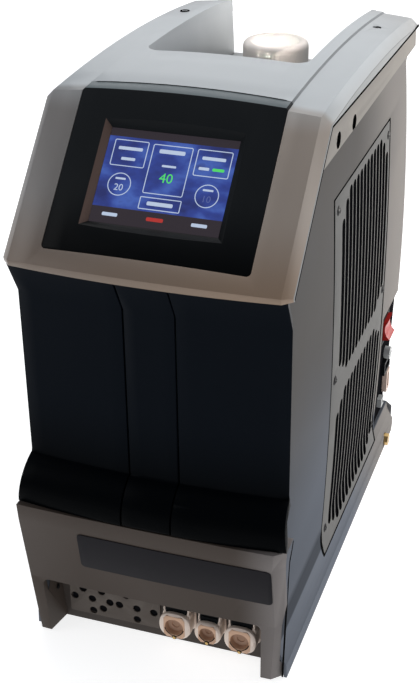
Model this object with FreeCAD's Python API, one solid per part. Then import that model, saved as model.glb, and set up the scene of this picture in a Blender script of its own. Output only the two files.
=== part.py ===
import FreeCAD, Part
from FreeCAD import Vector
import math
import os

# Hot and cold therapy machine: a narrow bench-top unit with a slanted touch display,
# a filling well between two rails on top, vented side panels, three hose couplings in
# an arch at the foot of the front, and a connector pocket at the rear right.
# Built with y = 0 at the front of the legs; saved with the origin at the middle of the
# footprint, on the surface that the machine stands on.

# ---- overall form ----------------------------------------------------------------
NOSE = -16.5            # front line of the display shell and of the base
REAR = 356.0            # rear-most point of the rear cover
SHELL_HALF = 94.0       # half width of the top shell
CROWN_R = 800.0         # sideways crown of the top, the display face and the front
BOW_R = 800.0           # bow of the front in plan
WALL = 3.0              # moulded walls
SHEET = 2.2             # side panel sheet
GAP = 0.7               # visible parting gap between casings
FIT = 0.4               # clearance of a piece set into a casing

# ---- display face and top --------------------------------------------------------
SLOPE = 46.0            # display face above the horizontal
LIP_Z = 300.0           # lower edge of the display face
LIP_DROP = 5.5          # height of the facet under that edge
FOLD = (70.0, 388.5)    # (y, z) of the fold between display face and top
TOP_MID = (150.0, 391.0)
TOP_END = (338.0, 379.5)
EDGE = 6.0              # chamfer along the sides of the shell
CREASE_X = 66.0         # line where the middle of the top steps down to the rails
CREASE_STEP = 1.2
PARTING = 14.0          # parting line below the display face
PARTING_CORNER = 75.0   # y where the parting line turns along the top
PARTING_REAR = 366.5    # its height at the rear
RAIL_END = 337.0        # rear end of the rails
RAIL_SCREW = (74.0, 278.0)   # (x, y) of the screw holes in the rails
RAIL_SCREW_R = 2.6

# ---- display ---------------------------------------------------------------------
BEZEL_HALF = 67.0
BEZEL_FROM = 13.3       # lower edge of the bezel, up the slope
BEZEL_WRAP = 81.0       # y where the bezel ends on the top
BEZEL_THICK = 7.0
SCREEN_W = 84.0
SCREEN_H = 63.0
SCREEN_UP = 66.6        # centre of the screen, up the slope
SCREEN_DEPTH = 5.0
FRAME_W = 95.4          # bevel at the bezel's surface
FRAME_H = 74.2
GLASS = 1.6

# ---- filling well ----------------------------------------------------------------
WELL_HALF = 57.0
WELL_FRONT = 148.0
WELL_CORNER = 12.0
DECK_Z = 332.0          # floor of the well
DECK = 3.0
CAP_Y = 272.0
CAP_R = 24.7
CAP_TOP = 367.0
CAP_H = 22.0
CAP_FLATS = 48          # grip flats round the cap
NECK_R = 20.0
CAP_LID = 3.0           # thickness of the cap's top
GASKET_T = 1.5

# ---- front -----------------------------------------------------------------------
FRONT_HALF = 91.0       # half width of the upright black panels
FLARE_HALF = 95.0
PANEL_TOP = 293.8
KNEE = (0.5, 270.0)
SHOULDER = (1.5, 147.0)
FLARE_FOOT = 117.2
CENTRE_HALF = 17.5      # half width of the centre panel
PANEL_GAP = 1.0
BASE_TOP = 116.4
BASE_CREASE = 103.0
BASE_KNEE = 48.0        # below this height the base stands upright
BASE_BOW_R = 3000.0     # bow of the base in plan
BASE_CORNER = 7.0       # bevel along its upright right corner
BASE_LEFT = (95.0, 95.2, 94.6, 88.6)     # half widths at top, crease, knee and floor
BASE_RIGHT = (94.5, 93.4, 93.2, 91.0)
BAND_ANGLE = 98.0       # lean of the band at its top, in degrees
LEAN_ANGLE = 99.7      # lean between the crease and the knee
FLOOR_GAP = 2.0         # casings stop this far above the floor
ARCH = (-85.0, 76.5, 47.3)   # left, right and top of the arch
ARCH_FOOT = -80.3       # its left edge at the floor
ARCH_DRAFT = 0.18       # its left wall closes in by this share of its depth
LINTEL = 4.0            # thickness over the arch
ARCH_CORNER = 5.0
RECESS_Y = 16.2         # front of the wall behind the arch
PLATE_T = 1.5
RECESS_T = 2.5          # thickness of that wall
PORT_PLATE = (-74.0, -4.0, 8.0, 44.0)
PORT_HOLE_R = 2.9
PORT_HOLES = ((-63.5, 29.5), (-70.2, 21.9), (-56.5, 22.0), (-42.8, 21.8), (-35.4, 21.7),
              (-48.2, 14.9), (-56.0, 11.6), (-21.9, 21.6), (-8.9, 21.2), (-21.9, 11.9),
              (-49.0, 30.0), (-30.0, 31.5))
NAME_PLATE = (-51.8, 85.6, 70.2, 101.0)   # x from, x to, z from, z to
NAME_PLATE_T = 0.6

# ---- couplings -------------------------------------------------------------------
COUPLING_Z = 25.5
RING_TALL = 1.16        # height of the collar against its width
COUPLINGS = ((12.0, 23.3), (36.2, 19.2), (59.9, 23.3))   # (x, width)
COUPLING_REACH = 16.0   # from the recess wall to the coupling's mouth
BORE_RATIO = 0.27       # bore radius as a share of the coupling's width
SHANK_RATIO = 0.32      # half width of the shank, likewise
LATCH_RATIO = 0.34      # half width of the latch, likewise
NECK_RATIO = 0.44       # half width of the body behind the collar, likewise
COLLAR_T = 3.2
LATCH_FROM = 4.0        # from the mouth back to the latch's slot
LATCH_T = 1.7
LATCH_TRAVEL = 2.0

# ---- side panels -----------------------------------------------------------------
BAND_X = 92.0           # band under the shell
BAND_Z = 351.0          # crease below the band
NECK_IN = (85.2, 334.0)
BELLY = (89.6, 180.0)
WAIST = (86.4, 42.0)
COVE = (87.6, 26.0)
SKIRT = (93.6, 13.0)
UNDERCUT = (86.8, 344.0)
PANEL_FRONT = 8.0
VENT = (116.5, 290.0, 20.0, 310.0)    # y from, y to, z from, z to
VENT_FIT = 0.5
VENT_SINK = 0.3         # plate below the panel's face
VENT_FOLD = 152.0       # height of the fold across the middle
VENT_LAP = 1.5
SLOTS = 14
SLOT_PITCH = 10.4
SLOT_W = 7.0
SLOT_FROM = 143.5
SCREW_Y = (128.6, 283.0)
SCREW_Z = (38.5, 168.0, 298.0)
SCREW_HOLE_R = 1.6
NOTCH_Y = 296.0
NOTCH_Z = (28.5, 134.0)
BAND_HOLES = ((100.0, 358.0), (142.0, 355.5))
BAND_HOLE_R = 5.5

# ---- rear ------------------------------------------------------------------------
REAR_TOP = (343.0, 368.0)
REAR_BELLY = (356.0, 200.0)
REAR_FOOT = (343.0, 40.0)
POCKET_SINK = 2.5       # pocket wall below the side panel's face
SKIRT_TOP = 28.0
SKIRT_REAR = 348.0
SKIRT_CORNER = 6.0
SKIRT_BRIM = 3.4
SKIRT_HEEL = (11.0, 13.0)    # how far the heel is cut back, and how high
SWITCH = (311.0, 119.0)
ROCKER = (20.0, 17.4)   # width along y, height
ROCKER_SINK = 5.5       # pivot below the pocket wall's face
PIVOT_R = 1.2
PIVOT_FIT = 0.06
ROCKER_TILT = 8.0
DRAIN = (312.0, 8.5)    # (y, z) of the drain plug
DRAIN_HEX = 5.2
DRAIN_PROUD = 3.4       # from the skirt's widest line
INLET = (-48.0, 78.0)   # (x, z) of the mains inlet
INLET_W = 28.0
INLET_H = 20.6
REAR_SHEET = 2.5
CONNECTORS = {          # (y, z, width, height, how far it stands proud)
    "fuse_holder": (329.0, 85.6, 11.0, 11.0, 5.0),
    "data_port": (330.5, 73.0, 22.0, 12.0, 3.0),
    "service_port": (335.0, 55.5, 11.0, 20.0, 4.0),
    "bleed_port": (319.5, 41.5, 9.0, 8.0, 4.0),
}

# ---- inside ----------------------------------------------------------------------
TRAY = (6.0, 8.5)       # underside and top of the base tray
TRAY_HALF = 83.6
FOOT_R = 9.0
FOOT_AT = (66.0, 40.0, 318.0)   # x, y of the front pair, y of the rear pair
DIVIDER_Y = 118.0       # front of the upright divider
FAN = 120.0
FAN_T = 25.0
FAN_Y = 212.0
FAN_Z = (80.0, 228.0)
FAN_X = 58.2            # inner face of the fans
FAN_BORE_R = 57.0
HUB_R = 20.0
SHAFT_R = 2.0
SHAFT_FIT = 0.06
BLADES = 7
BLADE_PITCH = 38.0
SINK_BASE_X = (3.0, 9.0)
SINK_SIZE = (120.0, 112.0)
FINS = 12
FIN_T = 1.6
TEM_T = 4.0
COLD_T = 12.0
SHELF_Z = 294.0
TANK = (-54.0, 54.0, 205.0, 334.0)

MIDDLE = (NOSE + REAR) / 2.0
UP = Vector(0, 0, 1)


# ==================================================================================
# helpers
# ==================================================================================
def save(name, shape):
    """Move a piece to the saved frame and write it."""
    moved = shape.copy()
    moved.translate(Vector(0, -MIDDLE, 0))
    moved.exportStep("parts/%s.step" % name)


def fuse(shapes):
    """Join pieces into one clean solid."""
    first = shapes[0]
    joined = first.fuse(shapes[1:]) if len(shapes) > 1 else first
    return joined.removeSplitter()


def box(x0, x1, y0, y1, z0, z1):
    return Part.makeBox(x1 - x0, y1 - y0, z1 - z0, Vector(x0, y0, z0))


def prism(points, plane, start, end):
    """Extrude a polygon given in the plane yz, xz or xy."""
    place = {"yz": lambda a, b: Vector(start, a, b),
             "xz": lambda a, b: Vector(a, start, b),
             "xy": lambda a, b: Vector(a, b, start)}[plane]
    way = {"yz": Vector(1, 0, 0), "xz": Vector(0, 1, 0), "xy": UP}[plane]
    corners = [place(a, b) for a, b in points]
    return Part.Face(Part.makePolygon(corners + corners[:1])).extrude(way * (end - start))


def rounded(width, height, radius, thick):
    """Rounded plate in the local frame: x across, y up the face, z outward from 0."""
    w, h = width / 2.0, height / 2.0
    plate = Part.makeBox(width, height, thick, Vector(-w, -h, 0))
    corners = [e for e in plate.Edges if abs(e.tangentAt(e.FirstParameter).z) > 0.99]
    return plate.makeFillet(radius, corners)


def pin(centre, axis, radius, length):
    return Part.makeCylinder(radius, length, Vector(*centre), Vector(*axis))


def drum(centre, axis, radius, length, sides=24):
    """Many-sided drum for round inner pieces; axis is 0, 1 or 2."""
    a, b = [k for k in range(3) if k != axis]
    corners = []
    for k in range(sides):
        corner = list(centre)
        corner[a] += radius * math.cos(2 * math.pi * (k + 0.5) / sides)
        corner[b] += radius * math.sin(2 * math.pi * (k + 0.5) / sides)
        corners.append(Vector(*corner))
    way = [0.0, 0.0, 0.0]
    way[axis] = length
    return Part.Face(Part.makePolygon(corners + corners[:1])).extrude(Vector(*way))


def tilt(shape, angle, y, z, x=0.0):
    """Stand a local shape on the yz point: local y runs up the slope, z outward."""
    shape.rotate(Vector(0, 0, 0), Vector(1, 0, 0), angle)
    shape.translate(Vector(x, y, z))
    return shape


def face_right(shape, x, y, z):
    """Turn a local plate (x across, y up, z outward) to face +x."""
    shape.rotate(Vector(0, 0, 0), Vector(1, 1, 1), 120)
    shape.translate(Vector(x, y, z))
    return shape


def circle_centre(a, b, c):
    """Centre of the circle through three (y, z) points."""
    d = 2.0 * (a[0] * (b[1] - c[1]) + b[0] * (c[1] - a[1]) + c[0] * (a[1] - b[1]))
    aa, bb, cc = (p[0] ** 2 + p[1] ** 2 for p in (a, b, c))
    y = (aa * (b[1] - c[1]) + bb * (c[1] - a[1]) + cc * (a[1] - b[1])) / d
    z = (aa * (c[0] - b[0]) + bb * (a[0] - c[0]) + cc * (b[0] - a[0])) / d
    return y, z


def arc_yz(a, b, c, x):
    return Part.Arc(Vector(x, *a), Vector(x, *b), Vector(x, *c)).toShape()


def crown_section(half, chamfer, depth, crease=None, plain=False, bow=CROWN_R):
    """Face in the local xz plane: crowned top through the origin, chamfered sides.

    A plain section, for inner faces, takes the crown in four flats.
    """
    edge = half - chamfer
    sag = edge ** 2 / (2.0 * bow)
    step = CREASE_STEP if crease else 0.0
    top = crease if crease else edge
    top_sag = top ** 2 / (2.0 * bow)
    line = [Vector(top, 0, -top_sag)]
    if crease:
        line.append(Vector(top + step, 0, -top_sag - step))
    line += [Vector(edge, 0, -sag - step), Vector(half, 0, -sag - step - chamfer),
             Vector(half, 0, -depth), Vector(-half, 0, -depth)]
    line += [Vector(-half, 0, -sag - step - chamfer), Vector(-edge, 0, -sag - step)]
    if crease:
        line.append(Vector(-top - step, 0, -top_sag - step))
    line.append(Vector(-top, 0, -top_sag))
    if plain:
        flats = [Vector(top * share, 0, -top_sag * share ** 2) for share in (-0.5, 0.0, 0.5)]
        crown = Part.makePolygon([line[-1]] + flats + [line[0]]).Edges
    else:
        crown = [Part.Arc(line[-1], Vector(0, 0, 0), line[0]).toShape()]
    return Part.Face(Part.Wire(crown + Part.makePolygon(line).Edges))


def crowned_block(half, chamfer, depth, reach, plain=False, bow=CROWN_R):
    """Crowned slab in the local frame, running both ways along local y."""
    section = crown_section(half, chamfer, depth, plain=plain, bow=bow)
    section.translate(Vector(0, -reach, 0))
    return section.extrude(Vector(0, 2 * reach, 0))


# ==================================================================================
# top shell and display
# ==================================================================================
SLOPE_RAD = math.radians(SLOPE)
ALONG = (math.cos(SLOPE_RAD), math.sin(SLOPE_RAD))
OUT = (-math.sin(SLOPE_RAD), math.cos(SLOPE_RAD))


def on_face(up, out):
    """(y, z) of a point on the display face, up the slope and outward."""
    return (NOSE + up * ALONG[0] + out * OUT[0], LIP_Z + up * ALONG[1] + out * OUT[1])


def shell_volume(inset):
    """Everything under the display face, its lower facet and the top, shrunk by inset."""
    half = SHELL_HALF - inset
    plain = inset > 0.0
    slant = tilt(crowned_block(half, EDGE, 260.0, 420.0, plain), SLOPE, *on_face(0.0, -inset))
    lip_angle = 105.0
    lip_y, lip_z = on_face(0.0, 0.0)
    lip = crowned_block(half, EDGE, 600.0, 420.0, plain)
    lip.translate(Vector(0, 0, -inset))
    tilt(lip, lip_angle, lip_y, lip_z)
    cy, cz = circle_centre(FOLD, TOP_MID, TOP_END)
    radius = math.hypot(FOLD[0] - cy, FOLD[1] - cz)
    section = crown_section(half, EDGE, 200.0, CREASE_X - inset, plain)
    section.translate(Vector(0, cy, cz + radius - inset))
    sweep = 13.0
    section.rotate(Vector(0, cy, cz), Vector(1, 0, 0), sweep)
    top = section.revolve(Vector(0, cy, cz), Vector(1, 0, 0), -2 * sweep)
    return slant.common(lip).common(top)


def parting_line(offset):
    """Side parting line, offset below the shell: lower front, corner and rear."""
    low = on_face(0.0, -PARTING - offset)
    bottom = LIP_Z - LIP_DROP - offset
    up = (bottom - low[1]) / ALONG[1]
    start = (low[0] + up * ALONG[0], bottom)
    corner_z = low[1] + (PARTING_CORNER - low[0]) / ALONG[0] * ALONG[1]
    return [start, (PARTING_CORNER, corner_z), (REAR_TOP[0], PARTING_REAR - offset)]


def shell_outline(inset, below):
    """Prism in side view that bounds the shell; below drops its open underside."""
    start, corner, rear = parting_line(0.0)
    end = RAIL_END - inset
    points = [(NOSE - 30, start[1] - below), (start[0], start[1] - below),
              (corner[0], corner[1] - below), (rear[0] - inset, rear[1] - below),
              (rear[0] - inset - 0.5, rear[1] + 4.5), (end, rear[1] + 14.0),
              (end, 420.0), (NOSE - 30, 420.0)]
    return prism(points, "yz", -120.0, 120.0)


def well_block(grow, low):
    """Space of the filling well, open to the rear, grown by a wall thickness."""
    half = WELL_HALF + grow
    front = WELL_FRONT - grow
    block = box(-half, half, front, 440.0, low, 440.0)
    corners = [e for e in block.Edges if abs(e.tangentAt(e.FirstParameter).z) > 0.99
               and e.CenterOfMass.y < front + 1.0]
    return block.makeFillet(WELL_CORNER + grow, corners)


def bezel_region(clear):
    """Prism through the shell where the bezel is set in."""
    low = on_face(BEZEL_FROM - clear, -40.0)
    high = on_face(BEZEL_FROM - clear, 40.0)
    wrap = BEZEL_WRAP + clear
    half = BEZEL_HALF + clear
    side = prism([low, high, (wrap, 430.0), (wrap, low[1])], "yz", -half, half)
    corners = [e for e in side.Edges if e.Length > 60.0 and abs(e.CenterOfMass.x) > half - 0.1
               and abs(e.CenterOfMass.y - (low[0] + high[0]) / 2.0) < 1.0]
    return side.makeFillet(3.0, corners)


def rear_prism(inset):
    """Everything in front of the bulged rear profile, set in by inset."""
    top, belly, foot = ((p[0] - inset, p[1]) for p in (REAR_TOP, REAR_BELLY, REAR_FOOT))
    arc = arc_yz(top, belly, foot, -120.0)
    lines = Part.makePolygon([Vector(-120, *foot), Vector(-120, foot[0], -5),
                              Vector(-120, -60, -5), Vector(-120, -60, 430),
                              Vector(-120, top[0], 430), Vector(-120, *top)])
    return Part.Face(Part.Wire([arc] + lines.Edges)).extrude(Vector(240, 0, 0))


def make_top_shell():
    outer = shell_volume(0.0)
    casing = outer.common(shell_outline(0.0, 0.0))
    casing = casing.cut(shell_volume(WALL).common(shell_outline(WALL, 60.0)))
    casing = casing.cut(well_block(0.0, 200.0))
    walls = well_block(WALL, DECK_Z - 12.0).cut(well_block(0.0, DECK_Z - 20.0))
    walls = walls.common(outer).common(rear_prism(1.0))
    shell = fuse([casing, walls]).cut(bezel_region(FIT))
    seats = [pin((side * RAIL_SCREW[0], RAIL_SCREW[1], 360.0), (0, 0, 1), RAIL_SCREW_R, 40.0)
             for side in (-1, 1)]
    for seat in seats:
        shell = shell.cut(seat)
    return shell


def screen_recess():
    """Bevelled recess from the bezel's surface down to the glass."""
    def rectangle(width, height, depth):
        w, h = width / 2.0, height / 2.0
        return Part.makePolygon([Vector(x, y, depth) for x, y in
                                 ((-w, -h), (w, -h), (w, h), (-w, h), (-w, -h))])
    flare = (FRAME_W - SCREEN_W) / SCREEN_DEPTH
    above = 4.0
    wide = rectangle(FRAME_W + above * flare, FRAME_H + above * flare, above)
    tight = rectangle(SCREEN_W, SCREEN_H, -SCREEN_DEPTH)
    recess = Part.makeLoft([tight, wide], True, True)
    return tilt(recess, SLOPE, *on_face(SCREEN_UP, 0.0))


def make_bezel():
    volume = shell_volume(0.0).common(bezel_region(0.0))
    bezel = volume.cut(shell_volume(BEZEL_THICK))
    bezel = bezel.cut(box(-200, 200, PARTING_CORNER - 2.0, 200, 300, 383.5))
    window = slab(SCREEN_W - 2.0, SCREEN_H - 2.0, -30.0, 10.0)
    seat = slab(SCREEN_W + 2 * FIT, SCREEN_H + 2 * FIT, -SCREEN_DEPTH - 20.0, -SCREEN_DEPTH)
    return bezel.cut(screen_recess()).cut(window).cut(seat)


def slab(width, height, low, high):
    """Plate behind the display face, centred on the screen, from low to high outward."""
    plate = Part.makeBox(width, height, high - low, Vector(-width / 2.0, -height / 2.0, 0))
    return tilt(plate, SLOPE, *on_face(SCREEN_UP, low))


def make_glass():
    return slab(SCREEN_W, SCREEN_H, -SCREEN_DEPTH - GLASS, -SCREEN_DEPTH)


def make_display_module():
    """Backlight tray and driver board behind the glass."""
    back = -BEZEL_THICK - 1.9
    tray = slab(SCREEN_W + 14.0, SCREEN_H + 12.0, back - 7.0, back)
    pad = slab(SCREEN_W - 1.0, SCREEN_H - 1.0, back, -SCREEN_DEPTH - GLASS)
    board = slab(SCREEN_W + 20.0, SCREEN_H + 6.0, back - 8.6, back - 7.0)
    return fuse([tray, pad, board])


# ==================================================================================
# front
# ==================================================================================
def bowed(face, half):
    """Turn a yz profile about a far upright axis, so that the front bows in plan."""
    axis = Vector(0, NOSE + BOW_R, 0)
    angle = math.degrees(math.asin((half + 12.0) / BOW_R))
    face.rotate(axis, UP, -angle)
    return face.revolve(axis, UP, 2 * angle)


def front_profile(inset):
    """Black front in side view, from the shell's lip over the knee to the flared foot."""
    top = (KNEE[0] - 12.5 + inset, PANEL_TOP)
    knee = (KNEE[0] + inset, KNEE[1])
    waist = (SHOULDER[0] + inset, SHOULDER[1] - inset)
    foot = (NOSE + inset, FLARE_FOOT)
    radius_y, radius_z = waist[0] - foot[0], waist[1] - foot[1]
    bulge = (waist[0] - radius_y * 0.72, foot[1] + radius_z * 0.70)
    return top, knee, waist, bulge, foot


def front_face():
    top, knee, waist, bulge, foot = front_profile(0.0)
    top_in, knee_in, waist_in, bulge_in, foot_in = front_profile(WALL)
    x = 0.0
    edges = Part.makePolygon([Vector(x, *p) for p in (foot_in, foot)]).Edges
    edges.append(arc_yz(foot, bulge, waist, x))
    edges += Part.makePolygon([Vector(x, *p) for p in
                               (waist, knee, top, top_in, knee_in, waist_in)]).Edges
    edges += Part.makePolygon([Vector(x, *p) for p in (waist_in, bulge_in, foot_in)]).Edges
    return Part.Face(Part.Wire(Part.__sortEdges__(edges)))


def front_silhouette():
    """Front view outline of the black panels: upright, then flared over the base."""
    points = [(-FRONT_HALF, 320.0), (-FRONT_HALF, 150.0), (-FLARE_HALF + 1.0, 126.0),
              (-FLARE_HALF, FLARE_FOOT), (-FLARE_HALF, 90.0)]
    other = [(-x, z) for x, z in reversed(points)]
    return prism(points + other, "xz", -60.0, 60.0)


def make_front_panels():
    front = bowed(front_face(), FLARE_HALF).common(front_silhouette()).cut(flanks())
    cut = CENTRE_HALF - PANEL_GAP / 2.0
    left = front.common(box(-150, -CENTRE_HALF - PANEL_GAP / 2.0, -60, 60, 0, 320))
    right = front.common(box(CENTRE_HALF + PANEL_GAP / 2.0, 150, -60, 60, 0, 320))
    centre = front.common(box(-cut, cut, -60, 60, 0, 320))
    return left, centre, right


def base_profile():
    """Left and right half widths, front and height at top, crease, knee and floor."""
    band, lean = (math.tan(math.radians(a - 90.0)) for a in (BAND_ANGLE, LEAN_ANGLE))
    crease = NOSE + band * (BASE_TOP - BASE_CREASE)
    knee = crease + lean * (BASE_CREASE - BASE_KNEE)
    fronts = (NOSE, crease, knee, knee)
    heights = (BASE_TOP, BASE_CREASE, BASE_KNEE, 0.0)
    return list(zip(BASE_LEFT, BASE_RIGHT, fronts, heights))


def base_silhouette():
    """Outline of the base seen from the front, as a prism along y."""
    rows = base_profile()
    left = [(-row[0], row[3]) for row in rows]
    right = [(row[1], row[3]) for row in reversed(rows)]
    return prism(left + right, "xz", -60.0, 60.0)


def base_slab(inset, angle, y, z):
    """Slightly bowed slab behind a face that leans by the angle through (y, z)."""
    block = crowned_block(BASE_LEFT[0] + 12.0, 1.0, 120.0, 300.0, True, BASE_BOW_R)
    block.translate(Vector(0, 0, -inset))
    return tilt(block, angle, y, z)


def base_block(inset):
    """Base front: a top band, a leaning middle and upright legs, slightly bowed in plan."""
    top, crease, knee, _ = base_profile()
    band = base_slab(inset, BAND_ANGLE, *top[2:])
    lean = base_slab(inset, LEAN_ANGLE, *crease[2:])
    legs = base_slab(inset, 90.0, *knee[2:])
    return fuse([band.common(lean), legs])


def base_corner():
    """Wedge that bevels the right front corner of the base from top to floor."""
    wedges = []
    profile = base_profile()
    for upper, lower in zip(profile, profile[1:]):
        axis = Vector(*lower[1:]) - Vector(*upper[1:])
        half, front, z = upper[1:]
        start = Vector(half - BASE_CORNER, front + half ** 2 / (2.0 * BASE_BOW_R), z)
        points = [Vector(-4, -4, 0), Vector(BASE_CORNER + 4, BASE_CORNER + 4, 0),
                  Vector(BASE_CORNER + 4, -4, 0)]
        face = Part.Face(Part.makePolygon([start + p for p in points + points[:1]]))
        wedges.append(face.extrude(axis))
    return fuse(wedges)


def arch_cut():
    """Opening between the legs; its left wall leans and closes in towards the rear."""
    left, right, top = ARCH
    depth = 120.0

    def side(foot, head, end, draft):
        """Slanted block with one rounded upper corner."""
        start = Vector(-draft * depth / 2.0, -depth / 2.0, 0)
        corners = [(foot, 0.0), (head, top), (end, top), (end, 0.0)]
        points = [start + Vector(x, 0, z) for x, z in corners]
        face = Part.Face(Part.makePolygon(points + points[:1]))
        block = face.extrude(Vector(draft * depth, depth, 0))
        corner = [e for e in block.Edges if abs(e.CenterOfMass.x - head) < 1.0
                  and e.CenterOfMass.z > top - 1.0 and e.Length >= depth]
        return block.makeFillet(ARCH_CORNER, corner)
    return side(ARCH_FOOT, left, right + 40.0, ARCH_DRAFT).common(side(right, right, left - 40.0, 0.0))


def make_base_front():
    """Front of the base: hollow band and two legs round the arch."""
    outer = base_block(0.0).common(base_silhouette())
    outer = outer.common(box(-200, 200, -60, RECESS_Y, FLOOR_GAP, BASE_TOP))
    outer = outer.cut(base_corner())
    inner = BASE_LEFT[-1] - WALL
    hollow = base_block(WALL).common(
        box(-inner, inner, -60, 60, ARCH[2] + LINTEL, BASE_TOP - WALL))
    return outer.cut(hollow).cut(arch_cut()).cut(flanks())


def make_name_plate():
    """Bare black plate, bonded to the base front."""
    x0, x1, z0, z1 = NAME_PLATE
    plate = prism([(x0, z0), (x1, z0), (x1, z1), (x0, z1)], "xz", -40.0, 0.0)
    corners = [e for e in plate.Edges if abs(e.tangentAt(e.FirstParameter).y) > 0.99]
    plate = plate.makeChamfer(2.0, corners)
    return plate.common(base_block(-NAME_PLATE_T)).cut(base_block(-0.15))


def make_recess_wall():
    """Wall behind the arch that carries the couplings and the port plate."""
    top = ARCH[2]
    wall = box(-TRAY_HALF, TRAY_HALF, RECESS_Y, RECESS_Y + RECESS_T, 0.8, top + 12.0)
    for x, width in COUPLINGS:
        wall = wall.cut(shank(x, width, 0.15, 0.0, 60.0))
    return wall


def make_port_plate():
    """Speaker and breather plate with scattered round holes."""
    x0, x1, z0, z1 = PORT_PLATE
    plate = box(x0, x1, RECESS_Y - PLATE_T, RECESS_Y, z0, z1)
    for x, z in PORT_HOLES:
        plate = plate.cut(octagon(PORT_HOLE_R, 0.0, 40.0, x, z))
    return plate


# ==================================================================================
# hose couplings
# ==================================================================================
def octagon(radius, y0, y1, x, z, cut=0.586, tall=1.0):
    """Eight-sided block along the y axis; cut is the corner's share of the radius."""
    c = radius * cut
    corners = [(-radius, -radius + c), (-radius + c, -radius), (radius - c, -radius),
               (radius, -radius + c), (radius, radius - c), (radius - c, radius),
               (-radius + c, radius), (-radius, radius - c)]
    return prism([(x + a, z + b * tall) for a, b in corners], "xz", y0, y1)


def shank(x, width, clear, y0, y1):
    """Eight-sided shank that keeps a coupling from turning in its wall."""
    return octagon(width * SHANK_RATIO + clear, y0, y1, x, COUPLING_Z)


def mouth_y():
    return RECESS_Y - COUPLING_REACH


def latch_slot(x, width):
    """Slot across the collar in which the latch plate slides."""
    y = mouth_y()
    half = width * LATCH_RATIO
    return box(x - half, x + half, y + LATCH_FROM, y + LATCH_FROM + LATCH_T + 0.7,
               COUPLING_Z - width * 0.40, COUPLING_Z + width)


def make_coupling(x, width):
    """Panel coupling: collar, body, seating flange and shank with its nut."""
    y = mouth_y()
    half = width / 2.0
    collar = octagon(half, y, y + COLLAR_T, x, COUPLING_Z, 0.62, RING_TALL)
    neck = octagon(width * NECK_RATIO, y + COLLAR_T, RECESS_Y - 2.0, x, COUPLING_Z, 0.52)
    flange = octagon(half, RECESS_Y - 2.0, RECESS_Y, x, COUPLING_Z)
    stem = shank(x, width, 0.0, RECESS_Y, RECESS_Y + 20.0)
    nut = octagon(half * 0.88, RECESS_Y + RECESS_T, RECESS_Y + RECESS_T + 5.0, x, COUPLING_Z)
    body = fuse([collar, neck, flange, stem, nut])
    body = body.cut(pin((x, y, COUPLING_Z), (0, 1, 0), width * BORE_RATIO, LATCH_FROM))
    body = body.cut(octagon(width * BORE_RATIO * 0.94, y + LATCH_FROM, y + 21.0, x, COUPLING_Z))
    return body.cut(latch_slot(x, width))


def make_latch(x, width):
    """Sprung latch plate with its ribbed thumb pad."""
    y = mouth_y()
    half = width * LATCH_RATIO
    w = half - 0.3
    low = COUPLING_Z - width * 0.40 + LATCH_TRAVEL + 0.6
    crown = COUPLING_Z + width * NECK_RATIO + LATCH_TRAVEL + 0.6
    plate = box(x - w, x + w, y + LATCH_FROM + 0.35, y + LATCH_FROM + 0.35 + LATCH_T, low,
                crown + 0.5)
    opening = octagon(width * BORE_RATIO * 0.94, y, y + 20.0, x, COUPLING_Z)
    plate = plate.cut(opening)
    pad = prism([(y + 3.6, crown), (y + 12.0, crown), (y + 13.0, crown + 4.6),
                 (y + 4.6, crown + 3.0)], "yz", x - half, x + half)
    grooves = []
    for k in range(3):
        g = y + 6.2 + 2.2 * k
        z = crown + 3.0 + (g - y - 4.6) * 0.19
        grooves.append(box(x - half + 1.2, x + half - 1.2, g, g + 0.9, z - 0.4, z + 3.0))
    latch = fuse([plate, pad])
    for groove in grooves:
        latch = latch.cut(groove)
    return latch


# ==================================================================================
# side panels
# ==================================================================================
def side_solid(shift):
    """Block up to the outer profile of the right side panel, moved inward by shift."""
    top = 400.0
    y = -40.0

    def at(point):
        return Vector(point[0] - shift, y, point[1])
    inner = 60.0
    edges = Part.makePolygon([at((inner, -5.0)), at((SKIRT[0] + 0.6, -5.0)),
                              at((SKIRT[0], SKIRT[1]))]).Edges
    edges.append(Part.Arc(at(SKIRT), at(COVE), at(WAIST)).toShape())
    edges.append(Part.Arc(at(WAIST), at(BELLY), at(NECK_IN)).toShape())
    edges.append(Part.Arc(at(NECK_IN), at(UNDERCUT), at((BAND_X, BAND_Z))).toShape())
    edges += Part.makePolygon([at((BAND_X, BAND_Z)), at((BAND_X, top)), at((inner, top)),
                               at((inner, -5.0))]).Edges
    face = Part.Face(Part.Wire(Part.__sortEdges__(edges)))
    return face.extrude(Vector(0, 460.0, 0))


def flanks():
    """Space of both side panels, one visible gap wider, that the front pieces stay out of."""
    right = side_outline(-GAP).common(box(SKIRT[0] - 11.0, 130, -20, 60, -10, 400))
    right = right.cut(side_solid(SHEET + FIT).common(box(0, 130, -20, 60, -10, ARCH[2])))
    return right.fuse(mirrored(right))


def heel(reach):
    """Corner points (y, z) of the wedge under the bevelled heel of the rear."""
    deep, high = SKIRT_HEEL
    y = SKIRT_REAR - deep
    return [(y, 0.0), (y + deep * reach / high, reach), (y + deep * reach / high, 0.0)]


def side_outline(clear):
    """Side view outline of a side panel."""
    start, corner, rear = parting_line(GAP + clear)
    front = PANEL_FRONT
    points = [(1.2 + clear, FLOOR_GAP + clear), (0.4 + clear, 86.0),
              (front + clear, 116.0), (front - 1.0 + clear, KNEE[1]), (start[0] + 3.0, start[1] - 3.0),
              corner, (400.0, rear[1] - (400.0 - rear[0]) * 0.03), (400.0, FLOOR_GAP + clear)]
    outline = prism(points, "yz", 0.0, 130.0).common(rear_prism(0.5 + clear))
    return outline.cut(prism(heel(100.0), "yz", 0.0, 130.0))


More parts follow.
